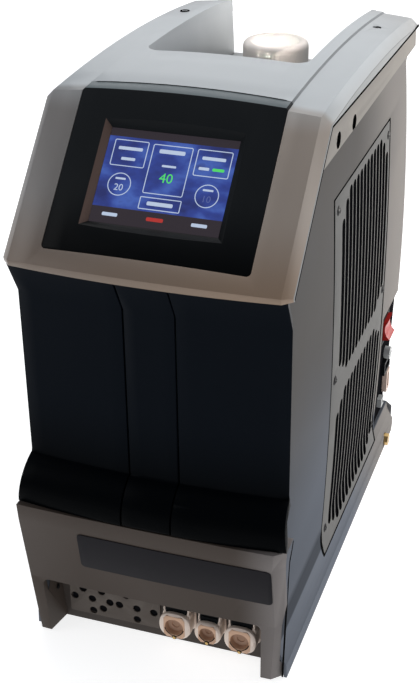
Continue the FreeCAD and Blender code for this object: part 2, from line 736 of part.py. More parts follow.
def front_rim():
    """Raised rim along the slanted front edge, fading into the wall lower down."""
    start, corner, _ = parting_line(GAP)
    back = 4.2
    band = prism([start, corner, (corner[0] + 10.0, corner[1]), (corner[0] + 10.0, corner[1] - 6.0),
                  (start[0] + back * 1.4, start[1])], "yz", 60.0, 130.0)
    wedge = prism([(80.0, start[1] - 5.0), (88.6, start[1] - 5.0), (BAND_X, corner[1] + 1.0),
                   (80.0, corner[1] + 1.0)], "xz", -40.0, 200.0)
    return band.common(wedge)


def vent_prism(clear):
    y0, y1, z0, z1 = VENT
    height, depth = z1 - z0 - 2 * clear, y1 - y0 - 2 * clear
    plate = Part.makeBox(80.0, depth, height, Vector(50.0, y0 + clear, z0 + clear))
    return plate


def slot_prism(y, z0, z1):
    """One upright louvre slot."""
    return box(50.0, 130.0, y - SLOT_W / 2.0, y + SLOT_W / 2.0, z0, z1)


def slot_ends(index):
    """Lower and upper group ends of a slot; the outer slots are shorter."""
    rank = min(index, SLOTS - 1 - index)
    lower = {0: (33.0, 132.0), 1: (29.0, 138.0)}.get(rank, (25.0, 144.0))
    upper = {0: (172.0, 286.0), 1: (166.0, 297.0)}.get(rank, (160.0, 303.0))
    return lower, upper


def make_side_panel(with_notch):
    """Right side panel; the left one is its mirror image without the notch."""
    sheet = side_solid(0.0).cut(side_solid(SHEET))
    panel = sheet.common(side_outline(0.0))
    panel = fuse([panel, front_rim().cut(side_solid(SHEET)).common(side_outline(0.0))])
    panel = panel.cut(vent_prism(0.0))
    for y, z in BAND_HOLES:
        panel = panel.cut(pin((80.0, y, z), (1, 0, 0), BAND_HOLE_R, 30.0))
    if with_notch:
        panel = panel.cut(box(60, 130, NOTCH_Y, 420, NOTCH_Z[0], NOTCH_Z[1]))
        panel = panel.cut(drain_seat())
    return panel


def folded_sheet(outer, inner):
    """Sheet in flats that follow the barrel-shaped wall, from outer to inner below its face."""
    folds = [(cove_x(VENT[2]), VENT[2]), WAIST, (wall_x(VENT_FOLD), VENT_FOLD),
             (wall_x(VENT[3]), VENT[3])]
    face = [(x - outer, z) for x, z in folds]
    back = [(x - inner, z) for x, z in reversed(folds)]
    return prism(face + back, "xz", VENT[0] - 10.0, VENT[1] + 10.0)


def make_vent_plate():
    """Folded sheet with two groups of upright slots and the holes of its six screws."""
    plate = folded_sheet(VENT_SINK, VENT_SINK + SHEET).common(vent_prism(VENT_FIT))
    for index in range(SLOTS):
        y = SLOT_FROM + SLOT_PITCH * index
        for z0, z1 in slot_ends(index):
            plate = plate.cut(slot_prism(y, z0, z1))
    return plate.cut(Part.makeCompound(screw_holes()))


def screw_holes():
    """Square-cut clearance holes for the screws of a vent plate."""
    half = SCREW_HOLE_R
    return [box(50, 130, y - half, y + half, z - half, z + half)
            for y in SCREW_Y for z in SCREW_Z]


def wall_x(z):
    """Outer face of the barrel-shaped wall at height z, on the arc of its profile."""
    cx, cz = circle_centre(WAIST, BELLY, NECK_IN)
    radius = math.hypot(BELLY[0] - cx, BELLY[1] - cz)
    return cx + math.sqrt(radius ** 2 - (z - cz) ** 2)


def cove_x(z):
    """Outer face of the hollow above the skirt at height z."""
    cx, cz = circle_centre(WAIST, COVE, SKIRT)
    radius = math.hypot(COVE[0] - cx, COVE[1] - cz)
    return cx - math.sqrt(radius ** 2 - (z - cz) ** 2)


def make_vent_frame():
    """Inner frame behind a vent plate: the screws' strip all round and a middle bar."""
    ring = folded_sheet(VENT_SINK + SHEET, VENT_SINK + SHEET + 1.5)
    outer = vent_prism(-VENT_LAP)
    y0, y1, z0, z1 = VENT
    strip = 19.0
    for low, high in ((z0 + 3.0, 146.0), (158.0, z1 - 5.0)):
        outer = outer.cut(box(50, 130, y0 + strip, y1 - strip + 12.0, low, high))
    frame = ring.common(outer).common(side_solid(SHEET + 0.3))
    return frame.cut(Part.makeCompound(screw_holes()))


def mirrored(shape):
    return shape.mirror(Vector(0, 0, 0), Vector(1, 0, 0))


# ==================================================================================
# rear
# ==================================================================================
def between_sides(clear):
    """Space between the two side panels, kept clear of their sheets."""
    right = side_solid(SHEET + clear)
    middle = box(-75.0, 75.0, -40.0, 420.0, -5.0, 400.0)
    return right.fuse([middle, mirrored(right)])


def make_rear_cover():
    """Bulged rear cover between the side panels, with the pocket side cut away."""
    skin = rear_prism(0.0).cut(rear_prism(REAR_SHEET)).common(between_sides(0.4))
    cover = skin.common(box(-200, 200, 200, 400, SKIRT_TOP + 0.5, 400))
    corner = side_solid(POCKET_SINK - 0.3).cut(side_solid(POCKET_SINK + 2.8))
    cover = cover.cut(corner.common(box(60, 130, 300, 420, NOTCH_Z[0] - 3.0, NOTCH_Z[1] + 7.0)))
    notch_top = PARTING_REAR - 2.0
    cover = cover.common(box(-200, 200, 0, 400, 0, notch_top))
    well = box(-WELL_HALF - WALL - 0.4, WELL_HALF + WALL + 0.4, 300, 400, DECK_Z - 12.5, 400)
    cover = cover.cut(well)
    return cover.cut(inlet_block(INLET_W + 0.4, INLET_H + 0.4, -30.0, 30.0))


def inlet_block(width, height, back, front):
    """Block square to the rear cover at the mains inlet; back and front from its face."""
    x, z = INLET
    cy, cz = circle_centre(REAR_TOP, REAR_BELLY, REAR_FOOT)
    radius = math.hypot(REAR_BELLY[0] - cy, REAR_BELLY[1] - cz)
    y = cy + math.sqrt(radius ** 2 - (z - cz) ** 2)
    block = box(x - width / 2.0, x + width / 2.0, y + back, y + front, z - height / 2.0,
                z + height / 2.0)
    block.rotate(Vector(x, y, z), Vector(1, 0, 0), math.degrees(math.asin((z - cz) / radius)))
    return block


def make_mains_inlet():
    """Three-pin appliance inlet, set in the rear cover."""
    body = inlet_block(INLET_W, INLET_H, -20.0, 0.2)
    rim = inlet_block(INLET_W + 6.0, INLET_H + 5.4, 0.2, 2.2)
    inlet = fuse([body, rim]).cut(inlet_block(INLET_W - 5.0, INLET_H - 5.6, -16.0, 10.0))
    blades = []
    for dx, dz in ((-6.5, -1.5), (0.0, 2.0), (6.5, -1.5)):
        blade = inlet_block(2.0, 4.0, -16.5, -4.0)
        blade.translate(Vector(dx, 0, dz))
        blades.append(blade)
    return fuse([inlet] + blades)


def make_rear_pocket():
    """Black corner wall in the notch of the right side panel; it carries the connectors."""
    low, high = NOTCH_Z[0] - 2.0, NOTCH_Z[1] + 6.0
    wall = side_solid(POCKET_SINK).cut(side_solid(POCKET_SINK + 2.5))
    wall = wall.common(box(60, 130, NOTCH_Y - 3.5, 400, low, high)).common(rear_prism(0.0))
    y, z = SWITCH
    width, height = ROCKER[0] + 3.2, ROCKER[1] + 5.2
    cuts = [box(60, 120, y - width / 2, y + width / 2, z - height / 2, z + height / 2)]
    for name, (cy, cz, width, height, _) in CONNECTORS.items():
        cuts.append(box(60, 120, cy - width / 2 + 1.2, cy + width / 2 - 1.2,
                        cz - height / 2 + 1.2, cz + height / 2 - 1.2))
    for cut in cuts:
        wall = wall.cut(cut)
    return wall


def pocket_x(z, height):
    """Seat of a flat rim on the pocket wall, at the wall's outermost line behind it."""
    return max(wall_x(z - height / 2.0), wall_x(z), wall_x(z + height / 2.0)) - POCKET_SINK


def make_connector(name):
    y, z, width, height, proud = CONNECTORS[name]
    stem = 1.2 + 0.3
    x = pocket_x(z, height)
    if name == "fuse_holder":
        stem_piece = drum((x - 12.0, y, z), 0, width / 2 - stem, 12.5, 8)
        cap = pin((x, y, z), (1, 0, 0), width / 2, proud)
        slot = box(x + proud - 1.0, x + proud + 1, y - width / 2, y + width / 2, z - 0.6, z + 0.6)
        return fuse([stem_piece, cap]).cut(slot)
    rim = upright_block(y, z, width, height, x, x + proud)
    back = upright_block(y, z, width - 2 * stem, height - 2 * stem, x - 13.5, x)
    mouth = upright_block(y, z, width - 5.0, height - 5.0, x - 6.0, x + 20.0)
    return fuse([rim, back]).cut(mouth)


def upright_block(y, z, width, height, x0, x1):
    """Block centred on (y, z), reaching from x0 to x1."""
    return box(x0, x1, y - width / 2.0, y + width / 2.0, z - height / 2.0, z + height / 2.0)


def switch_x():
    return pocket_x(SWITCH[1], ROCKER[1] + 6.0)


def make_switch_housing():
    """Frame of the mains switch, with bearing holes for the rocker's pivots."""
    y, z = SWITCH
    x = switch_x()
    frame = upright_block(y, z, ROCKER[0] + 5.0, ROCKER[1] + 6.0, x, x + 1.8)
    body = upright_block(y, z, ROCKER[0] + 3.0, ROCKER[1] + 4.0, x - 17.0, x)
    opening = upright_block(y, z, ROCKER[0] + 0.6, ROCKER[1] + 2.0, x - 15.5, x + 10.0)
    housing = fuse([frame, body]).cut(opening)
    return housing.cut(pin((x - ROCKER_SINK, y - 30, z), (0, 1, 0), PIVOT_R, 60.0))


def make_rocker():
    """Rocker with a dished face and two pivot pins."""
    y, z = SWITCH
    w, h = ROCKER[0] / 2.0, ROCKER[1] / 2.0
    x = switch_x() - ROCKER_SINK
    edges = Part.makePolygon([Vector(x + a, y - w, z + b) for a, b in
                              ((12.2, -h + 0.6), (4.0, -h), (-5.0, -7.0), (-5.0, 7.0),
                               (4.0, h), (12.2, h - 0.6))]).Edges
    edges.append(Part.Arc(Vector(x + 12.2, y - w, z + h - 0.6), Vector(x + 9.0, y - w, z),
                          Vector(x + 12.2, y - w, z - h + 0.6)).toShape())
    rocker = Part.Face(Part.Wire(Part.__sortEdges__(edges))).extrude(Vector(0, 2 * w, 0))
    reach = 1.2
    pivot = pin((x, y - w - reach, z), (0, 1, 0), PIVOT_R - PIVOT_FIT, 2 * (w + reach))
    rocker = fuse([rocker, pivot])
    rocker.rotate(Vector(x, y, z), Vector(0, 1, 0), -ROCKER_TILT)
    return rocker


def make_rear_skirt():
    """Light bumper across the foot of the rear, with bevelled corners and brim."""
    front = REAR_FOOT[0] + 0.3
    half = SKIRT[0]
    block = box(-half, half, front - 20.0, SKIRT_REAR, TRAY[0], SKIRT_TOP)
    upright = [e for e in block.Edges if abs(e.tangentAt(e.FirstParameter).z) > 0.99
               and e.CenterOfMass.y > front]
    block = block.makeChamfer(SKIRT_CORNER, upright)
    brim = [e for e in block.Edges if e.CenterOfMass.z > SKIRT_TOP - 0.1
            and e.CenterOfMass.y > front]
    block = block.makeChamfer(SKIRT_BRIM, brim)
    band = block.common(box(-200, 200, front, 400, 0, 100))
    lip = box(-TRAY_HALF, TRAY_HALF, SKIRT_REAR - SKIRT_HEEL[0] - 0.7, front + 1.0, *TRAY)
    return fuse([band, lip]).cut(prism(heel(100.0), "yz", -200.0, 200.0))


def drain_seat():
    """Stepped hole of the drain plug through the foot of the side panel."""
    y, z = DRAIN
    bore = pin((60.0, y, z), (1, 0, 0), DRAIN_HEX - 0.9, 60.0)
    return bore.fuse(pin((SKIRT[0] - 1.8, y, z), (1, 0, 0), DRAIN_HEX + 0.5, 20.0))


def make_drain_fitting():
    """Brass drain plug at the foot of the right side, near the rear."""
    y, z = DRAIN
    x = SKIRT[0] - 1.75
    body = pin((TRAY_HALF + 0.4, y, z), (1, 0, 0), DRAIN_HEX - 1.2, x - TRAY_HALF - 0.4)
    angles = [math.radians(60 * k) for k in range(6)]
    hexagon = prism([(y + DRAIN_HEX * math.cos(a), z + DRAIN_HEX * math.sin(a)) for a in angles],
                    "yz", x, SKIRT[0] + DRAIN_PROUD)
    return fuse([body, hexagon])


# ==================================================================================
# reservoir
# ==================================================================================
def make_filler_deck():
    """Floor of the well, with a raised collar round the filler neck."""
    half = WELL_HALF + WALL + 4.0
    deck = box(-half, half, WELL_FRONT - WALL - 4.0, 400, DECK_Z - 12.0 - DECK, DECK_Z - 12.0)
    deck = deck.common(rear_prism(3.0))
    raised = box(-WELL_HALF + FIT, WELL_HALF - FIT, WELL_FRONT + FIT + 4.0, 400,
                 DECK_Z - 12.0, DECK_Z)
    corners = [e for e in raised.Edges if abs(e.tangentAt(e.FirstParameter).z) > 0.99
               and e.CenterOfMass.y < WELL_FRONT + 10]
    raised = raised.makeFillet(WELL_CORNER - FIT, corners).common(rear_prism(1.5))
    collar = drum((0, CAP_Y, DECK_Z - 1.0), 2, CAP_R + 4.0, 4.0, 36)
    hollow = box(-WELL_HALF + WALL, WELL_HALF - WALL, WELL_FRONT + 12.0, 334.0,
                 DECK_Z - 16.0, DECK_Z - DECK)
    deck = fuse([deck, raised, collar]).cut(hollow)
    return deck.cut(drum((0, CAP_Y, 200), 2, NECK_R + 1.2, 200))


def make_tank():
    """Blow-moulded water tank with its neck up through the deck."""
    x0, x1, y0, y1 = TANK
    low, high = SHELF_Z + 2.0, DECK_Z - 12.0 - DECK - 0.3
    body = box(x0, x1, y0, y1, low, high)
    corners = [e for e in body.Edges if abs(e.tangentAt(e.FirstParameter).z) > 0.99]
    body = body.makeChamfer(8.0, corners)
    hollow = box(x0 + 2, x1 - 2, y0 + 2, y1 - 2, low + 2, high - 2)
    inner_corners = [e for e in hollow.Edges if abs(e.tangentAt(e.FirstParameter).z) > 0.99]
    hollow = hollow.makeChamfer(7.0, inner_corners)
    neck = drum((0, CAP_Y, high - 1), 2, NECK_R, CAP_TOP - CAP_LID - GASKET_T - high + 1)
    tank = fuse([body, neck]).cut(hollow)
    return tank.cut(drum((0, CAP_Y, high - 10), 2, NECK_R - 3.0, 100))


def make_cap_gasket():
    low = CAP_TOP - CAP_LID - GASKET_T
    ring = drum((0, CAP_Y, low), 2, NECK_R, GASKET_T)
    return ring.cut(drum((0, CAP_Y, low - 5), 2, NECK_R - 5.0, 10))


def make_cap():
    """Screw cap of the filler neck."""
    outer = drum((0, CAP_Y, CAP_TOP - CAP_H), 2, CAP_R, CAP_H, CAP_FLATS)
    rim = [e for e in outer.Edges if e.CenterOfMass.z > CAP_TOP - 0.1]
    outer = outer.makeChamfer(2.0, rim)
    return outer.cut(pin((0, CAP_Y, CAP_TOP - CAP_H - 1), (0, 0, 1), NECK_R + 0.8,
                         CAP_H - CAP_LID + 1))


# ==================================================================================
# inside
# ==================================================================================
def make_base_tray():
    """Floor tray with upturned front and sides."""
    z0, z1 = TRAY
    half = TRAY_HALF
    front = RECESS_Y + RECESS_T
    floor = box(-half, half, front, SKIRT_REAR - SKIRT_HEEL[0] - 1.0, z0, z1)
    sides = [box(-half, -half + 2, front, 316, z0, z0 + 12),
             box(half - 2, half, front, 316, z0, z0 + 12)]
    apron = box(-half + 2, half - 2, front, front + 2.0, z0, z0 + 40)
    wall = box(-half, half, DIVIDER_Y - 0.1, DIVIDER_Y + 2.1, z1, z0 + 20)
    tray = fuse([floor, apron] + sides).cut(wall)
    for x, width in COUPLINGS:
        tray = tray.cut(octagon(width * 0.5, 0.0, 60.0, x, COUPLING_Z))
    return tray


def make_feet():
    """Four rubber feet under the tray."""
    feet = []
    for x in (-FOOT_AT[0], FOOT_AT[0]):
        for y in FOOT_AT[1:]:
            feet.append(drum((x, y, 0), 2, FOOT_R, TRAY[0], 16))
    return Part.makeCompound(feet)


def make_inner_frame():
    """Folded frame: upright divider, tank shelf and the heat sinks' sill."""
    divider = box(-82, 82, DIVIDER_Y, DIVIDER_Y + 2, TRAY[1], SHELF_Z + 2)
    shelf = box(-82, 82, DIVIDER_Y, 338, SHELF_Z, SHELF_Z + 2)
    sill_top = FAN_Z[0] - SINK_SIZE[1] / 2.0
    sill = box(-20, 56, DIVIDER_Y + 1, 274, TRAY[1], sill_top)
    sill = sill.cut(box(-18, 54, DIVIDER_Y + 2, 280, TRAY[1] - 1, sill_top - 2))
    post = box(-82, -68, 334, 336, TRAY[1], SHELF_Z)
    foot = box(-82, -68, 332, 338, TRAY[1], TRAY[1] + 2)
    return fuse([divider, shelf, sill, post, foot])


def make_heat_sink(z):
    """Finned sink: upright base plate with fins towards the fan."""
    depth, height = SINK_SIZE
    x0, x1 = SINK_BASE_X
    y0 = FAN_Y - depth / 2.0
    plates = [box(x0, x1, y0, y0 + depth, z - height / 2.0, z + height / 2.0)]
    pitch = (depth - FIN_T) / (FINS - 1)
    for k in range(FINS):
        y = y0 + pitch * k
        plates.append(box(x1 - 0.5, FAN_X, y, y + FIN_T, z - height / 2.0, z + height / 2.0))
    return fuse(plates)


def make_thermoelectric_modules():
    modules = []
    for z in FAN_Z:
        for dy in (-28.0, 28.0):
            modules.append(box(SINK_BASE_X[0] - TEM_T, SINK_BASE_X[0], FAN_Y + dy - 20,
                               FAN_Y + dy + 20, z - 20, z + 20))
    return Part.makeCompound(modules)


def make_cold_plate():
    """Aluminium liquid plate pressed on the modules, with two hose stubs."""
    x1 = SINK_BASE_X[0] - TEM_T
    plate = box(x1 - COLD_T, x1, FAN_Y - 52, FAN_Y + 52, FAN_Z[0] - 26, FAN_Z[1] + 26)
    stubs = [drum((x1 - COLD_T - 12.0, FAN_Y, z), 0, 5.0, 13.0, 12)
             for z in (FAN_Z[0] - 10, FAN_Z[1] + 10)]
    return fuse([plate] + stubs)


def make_fan_frame(z):
    """Square fan frame with struts, motor plate and shaft."""
    half = FAN / 2.0
    x = FAN_X
    frame = box(x, x + FAN_T, FAN_Y - half, FAN_Y + half, z - half, z + half)
    frame = frame.cut(drum((x - 1, FAN_Y, z), 0, FAN_BORE_R, FAN_T + 2, 40))
    plate = drum((x, FAN_Y, z), 0, HUB_R - 1, 2.5, 16)
    shaft = pin((x, FAN_Y, z), (1, 0, 0), SHAFT_R, FAN_T - 4.8)
    struts = []
    for angle in (45, 135, 225, 315):
        strut = box(x, x + 2.5, FAN_Y, FAN_Y + FAN_BORE_R + 2.0, z - 2.0, z + 2.0)
        strut.rotate(Vector(x, FAN_Y, z), Vector(1, 0, 0), angle)
        struts.append(strut)
    return fuse([frame, plate, shaft] + struts)


def make_rotor(z):
    """Fan rotor: cup hub with twisted blades."""
    x = FAN_X + 3.2
    depth = FAN_T - 5.5
    hub = drum((x, FAN_Y, z), 0, HUB_R, depth, 4 * BLADES)
    blades = []
    for k in range(BLADES):
        blade = box(-0.9, 0.9, 0, FAN_BORE_R - 2.5, -11.0, 11.0)
        blade.rotate(Vector(0, 0, 0), Vector(0, 1, 0), BLADE_PITCH)
        blade.translate(Vector(x + depth / 2.0, FAN_Y, z))
        blade.rotate(Vector(x, FAN_Y, z), Vector(1, 0, 0), 360.0 / BLADES * k)
        blades.append(blade)
    rotor = fuse([hub] + blades)
    return rotor.cut(pin((x - 1, FAN_Y, z), (1, 0, 0), SHAFT_R + SHAFT_FIT, depth - 1.0))


def make_power_supply():
    case = box(-64, 44, DIVIDER_Y - 52, DIVIDER_Y, 130, 262)
    return case.makeChamfer(2.0, [e for e in case.Edges if e.CenterOfMass.y < DIVIDER_Y - 50])


def make_control_board():
    """Main board on stand-offs in front of the power supply."""
    y = DIVIDER_Y - 52
    board = box(-62, 42, y - 7.6, y - 6, 140, 255)
    posts = [box(px - 3, px + 3, y - 6, y, pz - 3, pz + 3) for px in (-56, 36) for pz in (146, 249)]
    chips = [box(-40, -12, y - 10.6, y - 7.6, 170, 198), box(-6, 20, y - 9.6, y - 7.6, 205, 231),
             box(-50, -38, y - 15.6, y - 7.6, 215, 245)]
    return fuse([board] + posts + chips)


def make_water_pump():
    """Circulation pump on the tray, behind the couplings."""
    body = drum((-52, 62, TRAY[1] + 26), 1, 24.0, 42)
    head = drum((-52, 46, TRAY[1] + 26), 1, 20.0, 17)
    foot = box(-74, -30, 52, 100, TRAY[1], TRAY[1] + 12)
    port = drum((-52, 52, TRAY[1] + 40), 2, 5.0, 22, 12)
    return fuse([body, head, foot, port])


def make_air_pump():
    """Compressor for the pressure sleeve."""
    body = box(8, 62, 56, 108, TRAY[1], TRAY[1] + 40)
    uprights = [e for e in body.Edges if abs(e.tangentAt(e.FirstParameter).z) > 0.99]
    body = body.makeChamfer(4.0, uprights)
    head = drum((35, 82, TRAY[1] + 39), 2, 18.0, 18)
    outlet = drum((35, 82, TRAY[1] + 56), 2, 4.0, 12, 12)
    return fuse([body, head, outlet])


# ==================================================================================
# build
# ==================================================================================
def main():
    os.makedirs("parts", exist_ok=True)
    save("top_shell", make_top_shell())
    save("display_bezel", make_bezel())
    save("display_glass", make_glass())
    save("display_module", make_display_module())
    for name, panel in zip(("left", "centre", "right"), make_front_panels()):
        save("front_panel_%s" % name, panel)
    save("base_front", make_base_front())
    save("name_plate", make_name_plate())
    save("recess_wall", make_recess_wall())
    save("port_plate", make_port_plate())
    for index, (x, width) in enumerate(COUPLINGS, start=1):
        save("coupling_%d" % index, make_coupling(x, width))
        save("latch_%d" % index, make_latch(x, width))
    save("side_panel_right", make_side_panel(True))
    save("side_panel_left", mirrored(make_side_panel(False)))
    vent = make_vent_plate()
    save("vent_plate_right", vent)
    save("vent_plate_left", mirrored(vent))
    frame = make_vent_frame()
    save("vent_frame_right", frame)
    save("vent_frame_left", mirrored(frame))
    save("rear_cover", make_rear_cover())
    save("rear_pocket", make_rear_pocket())
    for name in CONNECTORS:
        save(name, make_connector(name))
    save("switch_housing", make_switch_housing())
    save("power_rocker", make_rocker())
    save("mains_inlet", make_mains_inlet())
    save("rear_skirt", make_rear_skirt())
    save("drain_fitting", make_drain_fitting())
    save("filler_deck", make_filler_deck())
    save("water_tank", make_tank())
    save("cap_gasket", make_cap_gasket())
    save("filler_cap", make_cap())
    save("base_tray", make_base_tray())
    save("rubber_feet", make_feet())
    save("inner_frame", make_inner_frame())
    for name, z in zip(("lower", "upper"), FAN_Z):
        save("heat_sink_%s" % name, make_heat_sink(z))
        save("fan_frame_%s" % name, make_fan_frame(z))
        save("fan_rotor_%s" % name, make_rotor(z))
    save("thermoelectric_modules", make_thermoelectric_modules())
    save("cold_plate", make_cold_plate())
    save("power_supply", make_power_supply())
    save("control_board", make_control_board())
    save("water_pump", make_water_pump())
    save("air_pump", make_air_pump())


main()
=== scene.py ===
"""Looks of a bench-top hot and cold therapy machine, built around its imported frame."""

from __future__ import annotations

import logging
import math
from collections.abc import Callable
from dataclasses import dataclass, field
from enum import Enum

import bmesh
import bpy
from mathutils import Matrix, Vector
from mathutils.bvhtree import BVHTree

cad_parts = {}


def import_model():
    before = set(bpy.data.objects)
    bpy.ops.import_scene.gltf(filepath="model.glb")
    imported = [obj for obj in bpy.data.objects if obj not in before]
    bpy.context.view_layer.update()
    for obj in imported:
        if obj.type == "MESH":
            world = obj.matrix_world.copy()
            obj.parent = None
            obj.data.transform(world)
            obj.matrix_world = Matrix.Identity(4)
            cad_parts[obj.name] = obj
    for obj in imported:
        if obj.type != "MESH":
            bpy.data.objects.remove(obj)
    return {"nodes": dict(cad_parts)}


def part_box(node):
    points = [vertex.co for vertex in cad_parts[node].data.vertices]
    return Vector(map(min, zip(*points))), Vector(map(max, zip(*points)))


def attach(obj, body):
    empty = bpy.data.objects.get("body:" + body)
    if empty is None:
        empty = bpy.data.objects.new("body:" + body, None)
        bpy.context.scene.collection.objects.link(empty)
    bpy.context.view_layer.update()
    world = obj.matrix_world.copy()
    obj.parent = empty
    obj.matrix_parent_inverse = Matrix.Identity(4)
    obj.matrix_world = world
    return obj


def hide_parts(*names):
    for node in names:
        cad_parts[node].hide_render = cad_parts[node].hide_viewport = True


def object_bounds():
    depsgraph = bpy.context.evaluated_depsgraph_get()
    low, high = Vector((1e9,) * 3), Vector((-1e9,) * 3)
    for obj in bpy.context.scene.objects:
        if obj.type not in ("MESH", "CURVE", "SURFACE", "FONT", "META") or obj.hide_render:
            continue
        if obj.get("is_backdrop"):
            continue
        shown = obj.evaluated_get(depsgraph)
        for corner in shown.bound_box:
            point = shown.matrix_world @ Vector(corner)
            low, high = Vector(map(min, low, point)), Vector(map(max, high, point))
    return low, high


LOG = logging.getLogger("therapy_machine")
MM = 0.001
BROAD = 0.045           # size of the broad mottling, in metres
COAT_ROUGHNESS = 0.12
WEB = 1e-7              # distance under which cut points are one, in metres
SKY = 0.5               # height above everything, in metres
Point = tuple[float, float]
Colour = tuple[float, float, float]
SIDES = ((1, "right"), (-1, "left"))
MIDDLE = 169.75 * MM    # depth at the middle of the machine, from its front
UP = Vector((0, 0, 1))
FRONT = Vector((0, -1, 0))


class Grain(Enum):
    """Surface grain of a finish, by the size of its grain in metres."""

    SMOOTH = 0.004
    FINE = 0.0005
    COARSE = 0.0011


class Axis(Enum):
    """Axis that a piece turns or lies about."""

    X = 0
    Y = 1
    Z = 2


def scaled(colour: Colour, share: float) -> Colour:
    """Return a colour made darker, or lighter where the share is over 1."""
    return tuple(c * share for c in colour)


# ---------------------------------------------------------------------------- shading
class Value:
    """A shader socket that takes part in Python expressions."""

    def __init__(self, shader: "Shader", socket: bpy.types.NodeSocket) -> None:
        """Wrap one output socket of a shader's node tree.

        Args:
            shader: The shader that owns the node tree.
            socket: The output socket.
        """
        self.shader = shader
        self.socket = socket

    def _math(self, operation: str, a: "Value | float", b: "Value | float") -> "Value":
        """Add one Math node and return its result."""
        return self.shader.node("ShaderNodeMath", {"operation": operation}, {0: a, 1: b})

    def __add__(self, other: "Value | float") -> "Value":
        """Return self + other."""
        return self._math("ADD", self, other)

    def __sub__(self, other: "Value | float") -> "Value":
        """Return self - other."""
        return self._math("SUBTRACT", self, other)

    def __mul__(self, other: "Value | float") -> "Value":
        """Return self * other."""
        return self._math("MULTIPLY", self, other)

    def __rsub__(self, other: float) -> "Value":
        """Return other - self."""
        return self._math("SUBTRACT", other, self)

    __radd__ = __add__
    __rmul__ = __mul__

    def __gt__(self, other: float) -> "Value":
        """Return 1 where self is greater than other, else 0."""
        return self._math("GREATER_THAN", self, other)

    def __lt__(self, other: float) -> "Value":
        """Return 1 where self is less than other, else 0."""
        return self._math("LESS_THAN", self, other)

    def ramp(self, low: float, high: float) -> "Value":
        """Map low..high smoothly to 0..1.

        Args:
            low: Value that gives 0.
            high: Value that gives 1.

        Returns:
            The mapped value.
        """
        return self.shader.node("ShaderNodeMapRange", {"interpolation_type": "SMOOTHSTEP"},
                                {"Value": self, "From Min": low, "From Max": high})


class Shader:
    """One material's node tree, with a principled surface."""

    def __init__(self, name: str) -> None:
        """Make an empty material with its output and principled shader.

        Args:
            name: Name of the material.
        """
        self.material = bpy.data.materials.new(name)
        self.material.use_nodes = True
        self.tree = self.material.node_tree
        self.surface = self.tree.nodes["Principled BSDF"]

    def node(self, kind: str, settings: dict, inputs: dict, output: int | str = 0) -> Value:
        """Add a node of any type.

        Args:
            kind: Blender's type name of the node.
            settings: Attributes of the node; "stops" gives a colour ramp's stops.
            inputs: Values or links by socket name or number.
            output: Name or number of the output that is returned.

        Returns:
            The chosen output, ready for expressions.
        """
        made = self.tree.nodes.new(kind)
        for key, value in settings.items():
            if key == "stops":
                self._stops(made, value)
            else:
                setattr(made, key, value)
        for key, value in inputs.items():
            self.feed(made.inputs[key], value)
        return Value(self, made.outputs[output])

    def feed(self, socket: bpy.types.NodeSocket, value: "Value | float | tuple") -> None:
        """Link or set one input socket."""
        if isinstance(value, Value):
            self.tree.links.new(value.socket, socket)
        elif isinstance(value, tuple) and len(value) == 3 and socket.type == "RGBA":
            socket.default_value = (*value, 1.0)
        else:
            socket.default_value = value

    @staticmethod
    def _stops(made: bpy.types.Node, stops: list[tuple[float, Colour]]) -> None:
        """Set the stops of a colour ramp."""
        ramp = made.color_ramp
        while len(ramp.elements) < len(stops):
            ramp.elements.new(1.0)
        for element, (position, colour) in zip(ramp.elements, stops):
            element.position = position
            element.color = (*colour, 1.0)

    def place(self) -> Value:
        """Return the place on the piece, in metres."""
        return self.node("ShaderNodeTexCoord", {}, {}, "Object")

    def along(self, axis: Axis) -> Value:
        """Return one coordinate of the place, in metres."""
        return self.node("ShaderNodeSeparateXYZ", {}, {0: self.place()}, axis.value)

    def noise(self, size: float, detail: float = 3.0, stretch: Colour = (1, 1, 1)) -> Value:
        """Return noise from 0 to 1 with features of about one size.

        Args:
            size: Size of a feature in metres.
            detail: Number of octaves.
            stretch: Factor on each axis.

        Returns:
            The noise value.
        """
        scaled = self.node("ShaderNodeMapping", {}, {"Vector": self.place(), "Scale": stretch})
        return self.node("ShaderNodeTexNoise", {}, {"Vector": scaled, "Scale": 1.0 / size,
                                                    "Detail": detail})

    def mix(self, factor: "Value | float", a: "Value | Colour", b: "Value | Colour") -> Value:
        """Mix two colours and return the result."""
        return self.node("ShaderNodeMix", {"data_type": "RGBA"}, {0: factor, 6: a, 7: b}, 2)

    def bump(self, height: Value, depth: float) -> Value:
        """Return a normal that is bumped by a height.

        Args:
            height: Height from 0 to 1.
            depth: Real depth of the relief in metres.

        Returns:
            The bumped normal.
        """
        return self.node("ShaderNodeBump", {}, {"Height": height, "Distance": depth,
                                                "Strength": 1.0})

    def set(self, **values: "Value | float | Colour") -> None:
        """Set sockets of the surface; spaces in names are written as underscores."""
        for name, value in values.items():
            self.feed(self.surface.inputs[name.replace("_", " ")], value)


